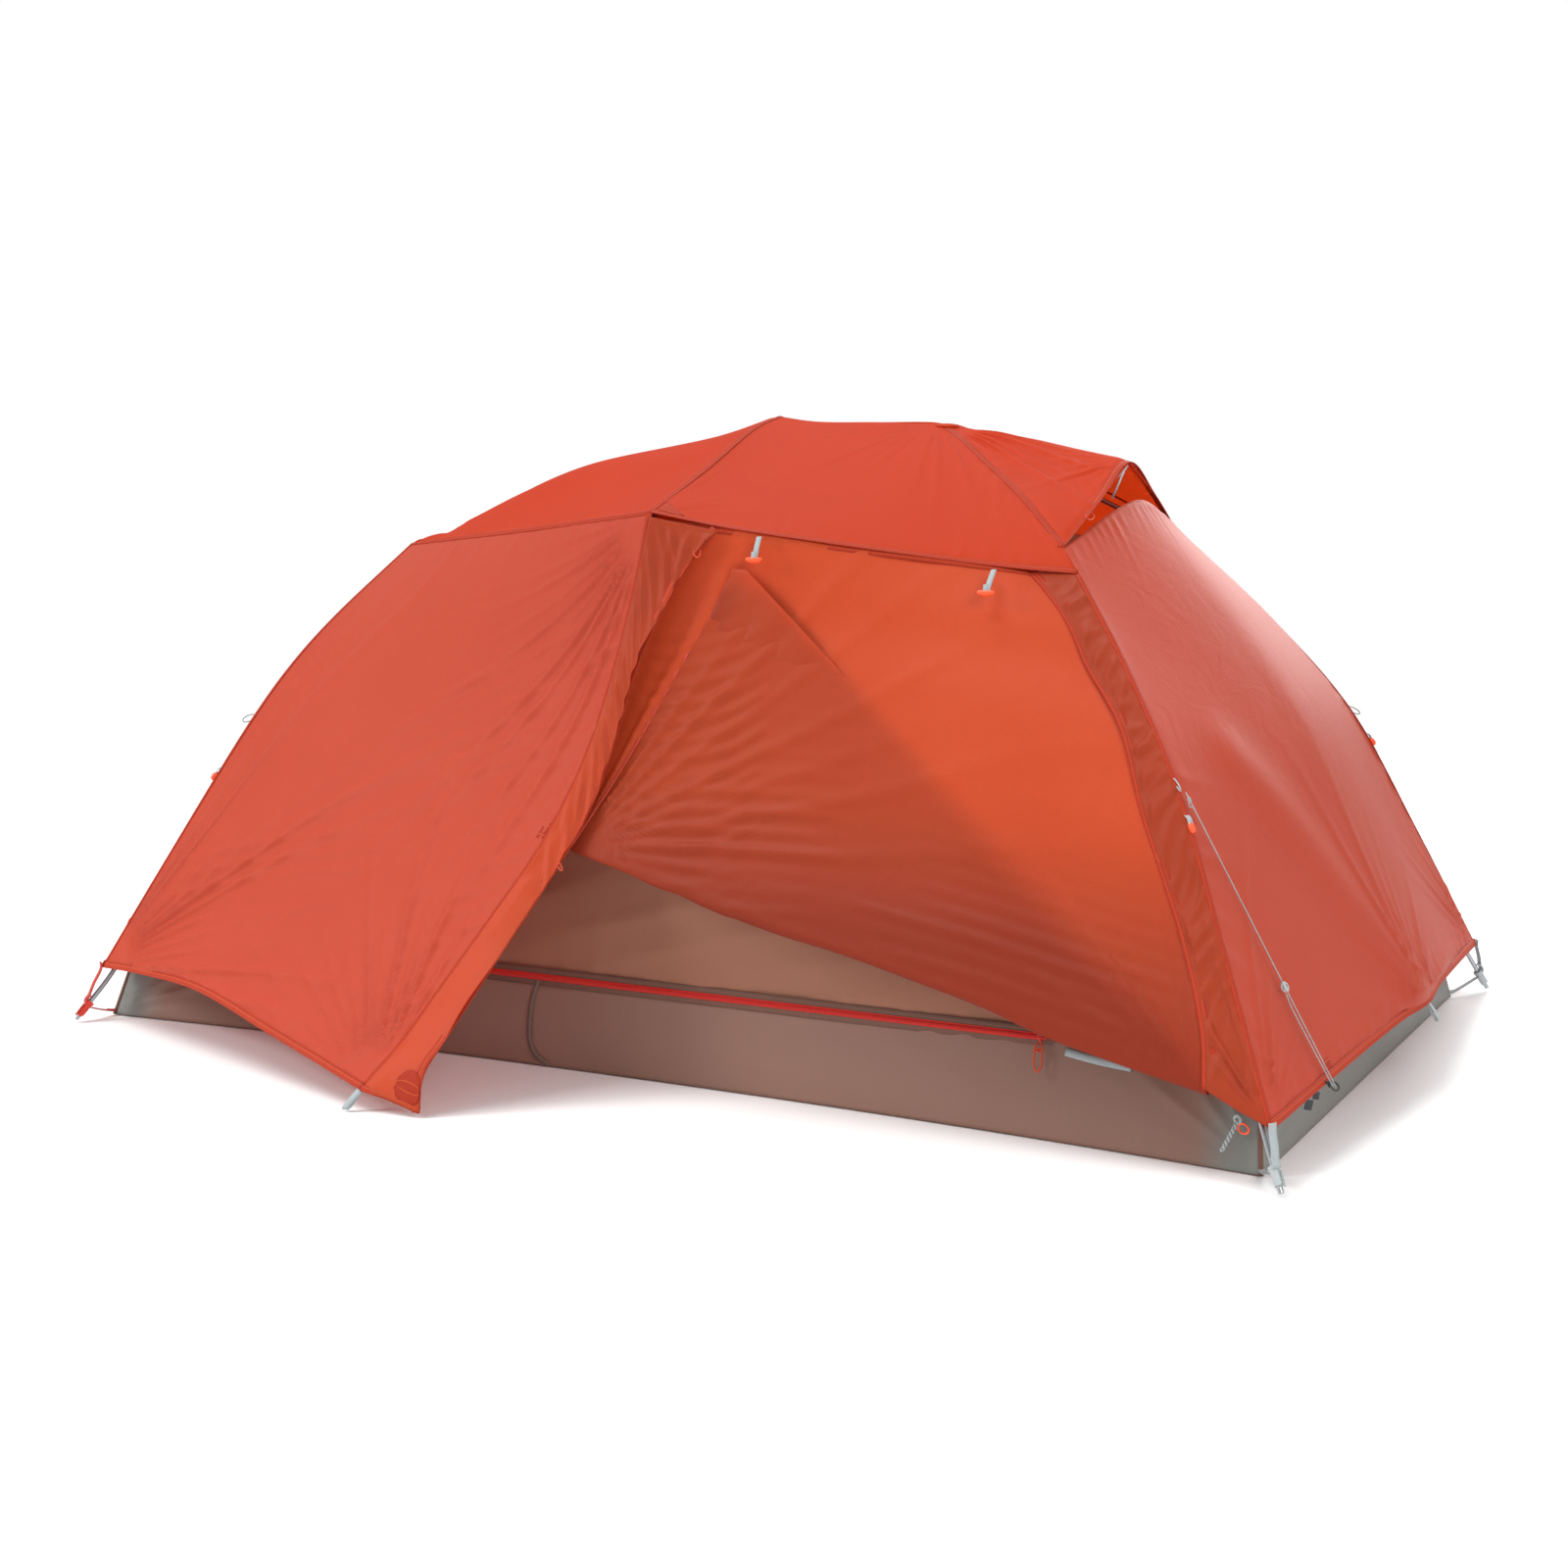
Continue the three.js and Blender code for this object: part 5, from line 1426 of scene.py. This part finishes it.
legCurves = {}
for end in ("head", "foot"):
    for side, sign in (("front", -1), ("back", 1)):
        curve = curveMm(polePoints(end, sign))
        legCurves[end + side] = curve
        start = poleSettings["hubRadius"] / 1000 / lengthOf(curve)
        makePole(
            f"leg{end.title()}{side.title()}Upper", curve, start, poleSettings["joint"],
            f"leg_{end}_{side}_upper"
        )
        makePole(
            f"leg{end.title()}{side.title()}Lower", curve, poleSettings["joint"] + 0.0005, 1,
            f"leg_{end}_{side}_lower", False
        )
hubAt = {end: mm(ends[end]["hub"][0], 0, ends[end]["hub"][1] - poleSettings["inset"]) for end in ends}
ridgeCurve = curveMm([
    list(hubAt["foot"] * 1000), [-391, 0, 996], [-102, 0, 1053], [ridgeX, 0, 1071], [154, 0, 1078],
    list(hubAt["head"] * 1000)
])
share = poleSettings["hubRadius"] / 1000 / lengthOf(ridgeCurve)
makePole("ridgePoleFoot", ridgeCurve, share, 0.5, "ridge_pole_foot")
makePole("ridgePoleHead", ridgeCurve, 0.5005, 1 - share, "ridge_pole_head", False)
crossHalf = [[ridgeX, -488, 942], [ridgeX, -290, 1005], [ridgeX, -101, 1075], [ridgeX, 0, 1095]]
crossCurve = curveMm(crossHalf + flipped(crossHalf[:-1])[::-1])
makePole("crossPoleFront", crossCurve, 0, 0.499, "cross_pole_front")
makePole("crossPoleBack", crossCurve, 0.501, 1, "cross_pole_back", False)
hubProfile = [
    (0, -6), (11, -6), (13.5, -4.5), (14.5, -2), (14.5, 2), (13.5, 4.5), (11, 6), (4, 6), (3, 4.5),
    (0, 4.5)
]
armProfile = [(4.7, 8), (6.6, 8), (7, 10), (7, 24), (6.6, 26), (4.7, 26), (4.7, 8)]
for end in ("head", "foot"):
    bm = newShape()
    addSpin(bm, hubProfile, hubAt[end], (0, 0, 1), 28)
    for sign in (-1, 1):
        curve = legCurves[end + ("front" if sign < 0 else "back")]
        way = Vector(onCurve(curve, np.array([0.03]))[0] - hubAt[end]).normalized()
        addSpin(bm, armProfile, hubAt[end], way, 16)
    way = Vector((-1, 0, -0.02)) if end == "head" else Vector((1, 0, 0.35)).normalized()
    addSpin(bm, armProfile, hubAt[end], way, 16)
    finishShape(end + "Hub", bm, [greyPlastic], nodes=[end + "_hub"], slot="hub_plastic", sharp=40)
bm = newShape()
saddleProfile = [(0, -6.8), (8.6, -6.8), (9, -6), (8.8, -4), (5, 1), (4.2, 5), (4, 6.6), (0, 6.6)]
addSpin(bm, saddleProfile, mm(ridgeX, 0, 1083), (0, 0, 1), 24)
finishShape("crossPoleSaddle", bm, [greyPlastic], nodes=["cross_pole_saddle"], slot="hub_plastic", sharp=40)

# corners: sockets, straps, cords
strapSettings = {"width": 0.013, "floorWidth": 0.010, "thick": 0.0015, "socketRise": 26}
socketBody = [(6.0, -15), (8.2, -15), (8.8, -14.2), (8.8, -10.5), (8.1, -9.8), (7.4, -9)]
socketBody += [(7.2, 9), (7.0, 13.5), (6.6, 15), (6.0, 15), (6.0, -15)]
socketTip = [(0, 14), (4.6, 14), (5.0, 17), (3.4, 20), (2.0, 24), (0, 25)]
for end in ("head", "foot"):
    for side, sign in (("front", -1), ("back", 1)):
        if (end, side) == ("foot", "front"):  # one corner is red, to match the fly to the poles
            plastic, webbing, cordMaterial = redPlastic, redWebbing, redCord
            hardSlot, softSlot = "red_plastic", "red_webbing"
        else:
            plastic, webbing, cordMaterial = greyPlastic, greyWebbing, greyCord
            hardSlot, softSlot = "grey_plastic", "grey_webbing"
        label = end.title() + side.title()
        hub, foot = ends[end]["hub"], ends[end]["foot"]
        curve = legCurves[end + side]
        size = lengthOf(curve)
        at = lambda gap: onCurve(curve, np.array([1 - gap / 1000 / size]))[0]
        axis = at(2) - at(40)
        axis /= np.linalg.norm(axis)
        outward = np.array([foot[0] - hub[0], sign * foot[1], 0.0])
        outward /= np.linalg.norm(outward)
        across = np.cross([0, 0, 1], outward)
        middle = at(strapSettings["socketRise"])
        bm = newShape()
        addSpin(bm, socketBody, middle, axis, 24)
        addSpin(bm, socketTip, middle, axis, 16)
        for rise in (0.018, 0.029):
            barAt = middle - axis * rise + outward * 0.0105
            addBlock(bm, (15, 3.4, 3), barAt, axis=axis, forward=across, bevel=0.0008)
        finishShape(
            "cornerSocket" + label, bm, [plastic], nodes=[f"corner_socket_{end}_{side}"], slot=hardSlot,
            sharp=35
        )
        corner = mm(*legPoint(end, sign, *ends[end]["profile"][-1]))
        top = corner + outward * 0.003 + mm(0, 0, -2)
        low = at(strapSettings["socketRise"] + 24) + outward * 0.011
        bm = newShape()
        strap = [top + mm(0, 0, 12), top, (top + low) / 2 + outward * 0.001, low]
        strap = smoothCurve(strap + [middle - axis * 0.014 + outward * 0.0096])[::10]
        addRibbon(bm, strap, strapSettings["width"], across, crown=0.0006)
        tail = [low + outward * 0.002 - axis * 0.010, low + outward * 0.0024]
        tail = smoothCurve(tail + [middle + outward * 0.0122 - axis * 0.018])[::20]
        addRibbon(bm, tail, strapSettings["width"] * 0.98, across)
        finishShape(
            "flyCornerStrap" + label, bm, [webbing], nodes=[f"fly_corner_strap_{end}_{side}"],
            slot=softSlot, thick=strapSettings["thick"], sharp=180
        )
        floorAt = mm(floorSettings[end + "X"], sign * floorSettings[end + "Y"], 8)
        socketSide = middle - outward * 0.0085
        bm = newShape()
        way = socketSide - floorAt
        way /= np.linalg.norm(way)
        strap = [floorAt - way * 0.014 + mm(0, 0, 3), floorAt + way * 0.004]
        strap = smoothCurve(strap + [(floorAt + socketSide) / 2 + mm(0, 0, -1.0), socketSide])[::12]
        addRibbon(bm, strap, strapSettings["floorWidth"], across)
        tab = [floorAt - way * 0.012 + mm(0, 0, 4.6), floorAt + way * 0.003 + mm(0, 0, 1.5)]
        tab = smoothCurve(tab + [floorAt + way * 0.012 + mm(0, 0, 1.2)])[::24]
        addRibbon(bm, tab, strapSettings["floorWidth"] * 1.15, across)
        finishShape(
            "floorStrap" + label, bm, [webbing], nodes=[f"floor_strap_{end}_{side}"], slot=softSlot,
            thick=strapSettings["thick"], sharp=180
        )
        # a knotted pull cord down the outside of the socket
        links = np.linspace(0, 1, 60)
        bead = np.abs(np.sin(links * 5 * math.pi))
        start = middle + outward * 0.0100 - axis * 0.012 + across * 0.005
        finish = middle + outward * 0.0088 + axis * 0.014 + across * 0.004
        line = start + (finish - start) * links[:, None] + outward * (0.001 * bead)[:, None]
        bm = newShape()
        addTube(bm, line, 0.0010 + 0.0009 * bead, 8)
        finishShape("cornerCord" + label, bm, [cordMaterial], slot=softSlot, sharp=180)
print("corners made")


# toggles, loops and tabs on the fly
def addToggle(bm, at, along, down, length):
    # a bar toggle that smiles a little, thicker at its middle
    at, along, down = (np.array(x, float) for x in (at, along, down))
    along /= np.linalg.norm(along)
    down /= np.linalg.norm(down)
    t = np.linspace(-1, 1, 25)
    line = at + along * (t * length / 2)[:, None] - down * (0.0024 * t * t)[:, None]
    radius = 0.0050 * np.sqrt(np.maximum(1 - np.abs(t) ** 4, 0.02)) * (1 - 0.25 * t * t)
    addTube(bm, line, radius, 12)


toggleSettings = {"left": ([196, -470, 911], [199, -493, 876]), "right": ([579, -398, 863], [582, -437, 830])}
for name, (top, low) in toggleSettings.items():
    top, low = mm(*top), mm(*low)
    bm = newShape()
    strap = smoothCurve([top, (top + low) / 2 + mm(0, -2, 0), low + mm(0, -1, -1)])[::20]
    addRibbon(bm, strap, 0.009, (1, 0, 0), crown=0.0004)
    loop = smoothCurve([low + mm(0, -3.4, 12), low + mm(0, -5.2, 0), low + mm(0, -1, -6.5)])[::24]
    addRibbon(bm, loop, 0.0085, (1, 0, 0))
    finishShape(
        "toggleStrap" + name.title(), bm, [greyWebbing], body="toggle_" + name, slot="grey_webbing",
        thick=0.0014, sharp=180
    )
    bm = newShape()
    addToggle(bm, low + mm(0, -4.5, -2), (1, 0, 0), (0, 0, -1), 0.031)
    finishShape(
        "doorToggle" + name.title(), bm, [orangePlastic], body="toggle_" + name,
        nodes=["door_toggle_" + name], slot="toggle_orange", sharp=60
    )


def loopLine(at, along, down, wide, long):
    # an open loop that hangs from a seam
    at, along, down = (np.array(x, float) for x in (at, along, down))
    along /= np.linalg.norm(along)
    down /= np.linalg.norm(down)
    shape = [(-0.5, -0.12), (-0.62, 0.35), (-0.5, 0.75), (0, 1), (0.5, 0.75), (0.62, 0.35), (0.5, -0.12)]
    return smoothCurve([at + along * x * wide + down * y * long for x, y in shape])[::6]


# where each loop is sewn, which way it runs and hangs, its width and length in metres, and its cord
seamLoops = [
    {
        "at": (934, -552, 559), "along": (0.5, -0.5, -0.7), "down": (0.55, -0.75, -0.2),
        "size": (0.016, 0.022), "cord": "grey"
    },
    {
        "at": (934, 552, 559), "along": (0.5, 0.5, -0.7), "down": (0.55, 0.75, -0.2),
        "size": (0.016, 0.022), "cord": "grey"
    },
    {
        "at": (-934, -329, 543), "along": (-0.4, -0.5, -0.8), "down": (-0.8, -0.5, -0.1),
        "size": (0.014, 0.018), "cord": "grey"
    },
    {
        "at": (-934, 329, 543), "along": (-0.4, 0.5, -0.8), "down": (-0.8, 0.5, -0.1),
        "size": (0.014, 0.018), "cord": "grey"
    },
    {
        "at": (96, -498, 890), "along": (1, 0, -0.3), "down": (0.1, -0.4, -1), "size": (0.010, 0.014),
        "cord": "orange"
    },
    {
        "at": (-72, -673, 378), "along": (0.3, -0.6, -1), "down": (0.9, -0.4, -0.6),
        "size": (0.008, 0.012), "cord": "orange"
    },
    {
        "at": (672, -206, 946), "along": (0.1, 1, 0.1), "down": (0.5, 0, -1), "size": (0.024, 0.009),
        "cord": "orange"
    },
]
for kind, material, slotName in (("grey", greyCord, "grey_webbing"), ("orange", orangeCord, "toggle_orange")):
    bm = newShape()
    for s in seamLoops:
        if s["cord"] == kind:
            addTube(bm, loopLine(mm(*s["at"]), s["along"], s["down"], *s["size"]), 0.0012, 8)
    finishShape(kind + "SeamLoops", bm, [material], slot=slotName, sharp=180)
ringWide = np.array([0.93, -0.36, 0])


def ringLine(at, high, reach, rise):
    # a closed ring that stands along ringWide
    turn = np.linspace(0, 2 * math.pi, 41)
    return at + np.outer(np.cos(turn), ringWide) * reach + np.outer(np.sin(turn), high) * rise


bm = newShape()
addTube(bm, ringLine(mm(1097, -716, 82), [0.02, -0.25, 0.97], 0.0095, 0.0082), 0.0016, 10)
finishShape("jambRing", bm, [orangePlastic], slot="toggle_orange", sharp=180)
bm = newShape()
along = np.linspace(0, 1, 60)
for phase in (0, math.pi):
    sideways = np.outer(np.sin(along * 22 + phase), ringWide) * 0.0026
    outwards = np.outer(np.cos(along * 22 + phase), [0, -1, 0]) * 0.0022
    addTube(bm, mm(1088, -716, 92) + np.outer(along, mm(-21, -6, -46)) + sideways + outwards, 0.0014, 8)
addTube(bm, ringLine(mm(1088, -716, 95), [0, -0.2, 0.98], 0.0055, 0.0055), 0.0022, 10)
finishShape("jambCord", bm, [greyCord], slot="grey_webbing", sharp=180)
bm = newShape()
plasticBar = newShape()
for sign in (-1, 1):  # a strap with a toggle half way down each leg seam
    for x, y, z, dx in ((959, 574, 514, 1), (-968, 382, 454, -1)):
        top = mm(x, sign * y, z)
        out = np.array([dx * 0.75, sign * 0.6, 0.25])
        out /= np.linalg.norm(out)
        down = mm(dx * 6, sign * 5, -16)
        strap = smoothCurve([top, top + out * 0.005 + down * 0.3, top + out * 0.006 + down])[::20]
        addRibbon(bm, strap, 0.008, np.cross(out, down))
        addToggle(plasticBar, top + out * 0.006 + down * 1.15, down * 1.0 + out * 0.004, out, 0.018)
finishShape("legToggleStraps", bm, [greyWebbing], slot="grey_webbing", thick=0.0012, sharp=180)
finishShape("legToggles", plasticBar, [orangePlastic], slot="toggle_orange", sharp=60)
bm = newShape()
addBlock(bm, (10, 1.4, 12), mm(1162, -552, 100), axis=(0.1, 0.1, 1), forward=(0.85, 0.5, 0))
addBlock(bm, (12, 1.2, 16), mm(1160, -588, 94), axis=(0.2, 0.1, 1), forward=(0.85, 0.5, 0))
finishShape("blankTabs", bm, [darkTab], slot="grey_webbing", sharp=40)

# the guy line
guySettings = {"top": (0.956, -0.570, 0.548), "end": (1.180, -0.508, 0.106), "lockAt": 0.66, "radius": 0.001}
s = guySettings
top, hookAt = np.array(s["top"]), np.array(s["end"])
guyWay = (hookAt - top) / np.linalg.norm(hookAt - top)
lockAt = top + (hookAt - top) * s["lockAt"]
aside = np.cross(guyWay, [0.74, -0.6, 0.3])
aside /= np.linalg.norm(aside)
guyPath = smoothCurve(
    [top, top + (hookAt - top) * 0.33, lockAt, top + (hookAt - top) * 0.85, hookAt], count=61
)
bm = newShape()
addTube(bm, guyPath, s["radius"], 8)
guyCord = finishShape("guyCord", bm, [greyCord], nodes=["guyline"], slot="guy_cord", sharp=180)
returnPath = smoothCurve(
    [
        lockAt + guyWay * 0.010 + aside * 0.0036, lockAt + guyWay * 0.030 + aside * 0.0060,
        top + (hookAt - top) * 0.86 + aside * 0.0055, hookAt + aside * 0.0042
    ],
    count=41
)
bm = newShape()
addTube(bm, returnPath, s["radius"], 8)
guyReturn = finishShape("guyCordReturn", bm, [greyCord], body=None, slot="guy_cord", sharp=180)
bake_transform(guyReturn)
bm = newShape()
turn = np.linspace(0, 5 * math.pi, 60)
wraps = (np.outer(np.cos(turn), aside) + np.outer(np.sin(turn), np.cross(aside, guyWay))) * 0.0018
addTube(bm, top + guyWay * 0.012 + wraps + np.outer(np.linspace(-0.003, 0.003, 60), guyWay), 0.0011, 8)
tail = [guyWay * 12, guyWay * 16 + aside * 3 + [0, 0, -4], guyWay * 17 - aside * 4 + [0, 0, -10]]
addTube(bm, curveMm([top * 1000 + step for step in tail])[::24], 0.0009, 8)
guyKnot = finishShape("guyKnot", bm, [greyCord], slot="guy_cord", sharp=180)
bm = newShape()
lockProfile = [
    (1.5, -8), (3.0, -8), (3.6, -6.6), (3.2, -3), (3.2, 3), (3.8, 6.6), (3.2, 8), (1.5, 8), (1.5, -8)
]
addSpin(bm, lockProfile, lockAt, guyWay, 18)
earSteps = ((-0.006, 0.003), (-0.002, 0.0056), (0.004, 0.0052), (0.007, 0.003))  # along the line, and aside
for sign in (-1, 1):
    ear = smoothCurve([lockAt + guyWay * along + aside * wide * sign for along, wide in earSteps])
    addTube(bm, ear[::24], 0.0011, 8)
guyTensioner = finishShape(
    "guyTensioner", bm, [greyPlastic], body="tensioner", nodes=["guyline_tensioner"], slot="grey_plastic",
    sharp=40
)
bm = newShape()
hook = [
    aside * 0.0062 + mm(-2, 0, 2), guyWay * 0.004 + aside * 0.005, guyWay * 0.007,
    guyWay * 0.004 - aside * 0.005, mm(-6, 0, 3) - aside * 0.0062, mm(-14, -4, 6),
]
addTube(bm, smoothCurve([hookAt + step for step in hook])[::12], 0.0013, 8)
addBlock(bm, (9, 3, 9), hookAt + mm(-9, -3, 3), axis=guyWay, forward=(0.1, 1, 0), bevel=0.001)
guyHook = finishShape("guyHook", bm, [blackPlastic], slot="grey_plastic", sharp=40)

# the vent's strut
bm = newShape()
addBlock(bm, (9, 1.8, 54), mm(653, 0, 990), axis=(0.39, 0, 0.92), forward=(0, 1, 0), bevel=0.0008)
addTube(bm, curveMm([(664, -5, 1016), (666, 0, 1019), (664, 5, 1016)])[::40], 0.0022, 8)
finishShape(
    "ventStrut", bm, [greyPlastic], body="strut", nodes=["vent_strut"], slot="strut_plastic", sharp=40
)
bm = newShape()
addRibbon(bm, curveMm([(668, -2, 1022), (668, -26, 1014), (668, -52, 1004)])[::20], 0.007, (0.9, 0, 0.3))
finishShape("ventStay", bm, [greyWebbing], slot="grey_webbing", thick=0.0014, sharp=180)

# peg loops
loopSettings = {
    "head": {"top": (1213, 0, 131), "low": (1228, 0, 106), "wide": (0, 1, 0), "body": "loop_head"},
    "foot": {"top": (-1213, 0, 131), "low": (-1228, 0, 106), "wide": (0, 1, 0), "body": "loop_foot"},
    "front": {"top": (-300, -927, 30), "low": (-316, -942, 4), "wide": (1, 0, 0), "body": "tent"},
    "back": {"top": (-300, 927, 30), "low": (-316, 942, 4), "wide": (1, 0, 0), "body": "tent"},
}
for name, s in loopSettings.items():
    top, low = mm(*s["top"]), mm(*s["low"])
    way = (low - top) / np.linalg.norm(low - top)
    out = np.cross(np.array(s["wide"], float), way)
    bm = newShape()
    middle = (top + low) / 2
    down = [top - way * 0.006, top + way * 0.006 + out * 0.0022, middle + out * 0.0032, low + out * 0.001]
    turn = [low + way * 0.0005, low - out * 0.001]
    back = [middle - out * 0.0032, top + way * 0.006 - out * 0.0022, top - way * 0.006 - out * 0.0006]
    addRibbon(bm, smoothCurve(down + turn + back)[::8], 0.011, s["wide"], crown=0.0003)
    finishShape(
        "pegLoop" + name.title(), bm, [greyWebbing], body=s["body"], nodes=["stake_loop_" + name],
        slot="grey_webbing", thick=0.0013, sharp=180
    )
print("trims made")

# each soft piece's facts, in a table
round(lengthOf(returnPath), 4)
# each panel's cut: width, length and flat area, how it is held and what it hangs from or lies on
legs = {
    end + side: [f"leg{end}{side}Upper", f"leg{end}{side}Lower"] for end in ("Head", "Foot")
    for side in ("Front", "Back")
}
sheetSettings = {
    "roofFoot": (
        0.89, 1.05, 0.453, "stretched", legs["FootFront"][:1] + legs["FootBack"][:1] + ["ridgePoleFoot"]
    ),
    "roofFront": (0.82, 0.53, 0.255, "stretched", ["ridgePoleHead", "crossPoleFront", "headHub"]),
    "roofBack": (0.82, 0.53, 0.256, "stretched", ["ridgePoleHead", "crossPoleBack", "headHub"]),
    "ventBrow": (0.48, 0.68, 0.117, "stretched", ["ventStrut"]),
    "headWall": (1.50, 1.05, 1.071, "stretched", legs["HeadFront"] + legs["HeadBack"]),
    "footWall": (1.20, 1.00, 0.612, "stretched", legs["FootFront"] + legs["FootBack"]),
    "doorLeft": (0.91, 1.08, 0.896, "stretched", legs["FootFront"]),
    "backLeft": (0.91, 1.08, 0.896, "stretched", legs["FootBack"]),
    "backRight": (1.46, 1.08, 0.957, "stretched", legs["HeadBack"]),
    "jambStrip": (0.11, 0.98, 0.053, "stretched", legs["HeadFront"]),
    "stormFlap": (0.12, 1.09, 0.064, "hung", ["frontSeams"]),
    "doorRight": (1.16, 2.10, 0.948, "folded", ["doorHems"]),
    "innerFront": (2.18, 0.88, 1.397, "stretched", legs["HeadFront"] + legs["FootFront"]),
    "innerBack": (2.18, 0.88, 1.373, "stretched", legs["HeadBack"] + legs["FootBack"]),
    "innerHead": (1.21, 0.86, 0.803, "stretched", legs["HeadFront"] + legs["HeadBack"]),
    "innerFoot": (0.98, 0.88, 0.466, "stretched", legs["FootFront"] + legs["FootBack"]),
    "innerRoof": (1.51, 0.95, 0.943, "stretched", ["ridgePoleHead", "ridgePoleFoot"]),
    "tubFront": (2.23, 0.17, 0.345, "stretched", ["innerSeams"]),
    "tubBack": (2.23, 0.17, 0.343, "stretched", ["innerSeams"]),
    "tubHead": (1.35, 0.17, 0.199, "stretched", ["innerSeams"]),
    "tubFoot": (1.10, 0.17, 0.163, "stretched", ["innerSeams"]),
    "floor": (
        2.23, 1.35, 2.544, "laid",
        ["floorStrapHeadFront", "floorStrapHeadBack", "floorStrapFootFront", "floorStrapFootBack"]
    ),
}
for name, (width, length, area, held, rests) in sheetSettings.items():
    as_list(rests)


# floor, backdrop and studio light
def makeArea(name, at, aim, size, energy):
    data = bpy.data.lights.new(name, "AREA")
    data.size = size
    data.energy = energy
    lamp = bpy.data.objects.new(name, data)
    lamp.location = at
    lamp.rotation_euler = (Vector(aim) - Vector(at)).to_track_quat("-Z", "Y").to_euler()
    scene.collection.objects.link(lamp)


lightSettings = {
    "key": {"at": (3.6, -2.6, 2.8), "aim": (0.6, -0.3, 0.4), "size": 2.2, "energy": 85},
    "fill": {"at": (-3.6, -3.2, 2.6), "aim": (-0.3, -0.5, 0.4), "size": 1.4, "energy": 92},
    "top": {"at": (-0.6, 1.2, 3.8), "aim": (0, 0, 0.5), "size": 2.6, "energy": 40},
    "back": {"at": (0.8, 4.2, 2.2), "aim": (0, 0, 0.5), "size": 2.5, "energy": 120},
}
for name, s in lightSettings.items():
    makeArea(name, s["at"], s["aim"], s["size"], s["energy"])
overhead = bpy.data.objects.new("overhead", bpy.data.lights.new("overhead", "SUN"))
overhead.data.energy = 1.45
overhead.data.angle = 0.6
overhead.rotation_euler = (math.radians(10), math.radians(-22), 0)
scene.collection.objects.link(overhead)
world = bpy.data.worlds.new("studio")
world.use_nodes = True
soft = world.node_tree.nodes["Background"]
soft.inputs["Strength"].default_value = 0.5
seen = world.node_tree.nodes.new("ShaderNodeBackground")
seen.inputs["Strength"].default_value = 1.0
for background in (soft, seen):
    background.inputs["Color"].default_value = (1, 1, 1, 1)
choose = world.node_tree.nodes.new("ShaderNodeMixShader")
ray = world.node_tree.nodes.new("ShaderNodeLightPath")
world.node_tree.links.new(ray.outputs["Is Camera Ray"], choose.inputs[0])
world.node_tree.links.new(soft.outputs[0], choose.inputs[1])
world.node_tree.links.new(seen.outputs[0], choose.inputs[2])
world.node_tree.links.new(choose.outputs[0], world.node_tree.nodes["World Output"].inputs["Surface"])
scene.world = world
scene.view_settings.view_transform = "Standard"

floorReach = 4.3
floorMesh = bmesh.new()
bmesh.ops.create_grid(floorMesh, x_segments=2, y_segments=2, size=floorReach)
bmesh.ops.translate(floorMesh, vec=(0, 0, -0.0006), verts=floorMesh.verts)
floorData = bpy.data.meshes.new("studioFloor")
floorMesh.to_mesh(floorData)
floorMesh.free()
studioFloor = bpy.data.objects.new("studioFloor", floorData)
scene.collection.objects.link(studioFloor)
pale, paleTree, paleShader, _ = newMaterial("paleFloor")
floorNoise = node(
    paleTree, "TexNoise", {"Vector": node(paleTree, "TexCoord").outputs["Object"], "Scale": 2.0}
)
paleTree.links.new(
    mixColour(paleTree, floorNoise.outputs["Fac"], (0.98, 0.98, 0.98, 1), (1, 1, 1, 1)),
    paleShader.inputs["Base Color"]
)
paleShader.inputs["Roughness"].default_value = 0.8
floorData.materials.append(pale)
studioFloor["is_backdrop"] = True

low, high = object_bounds()
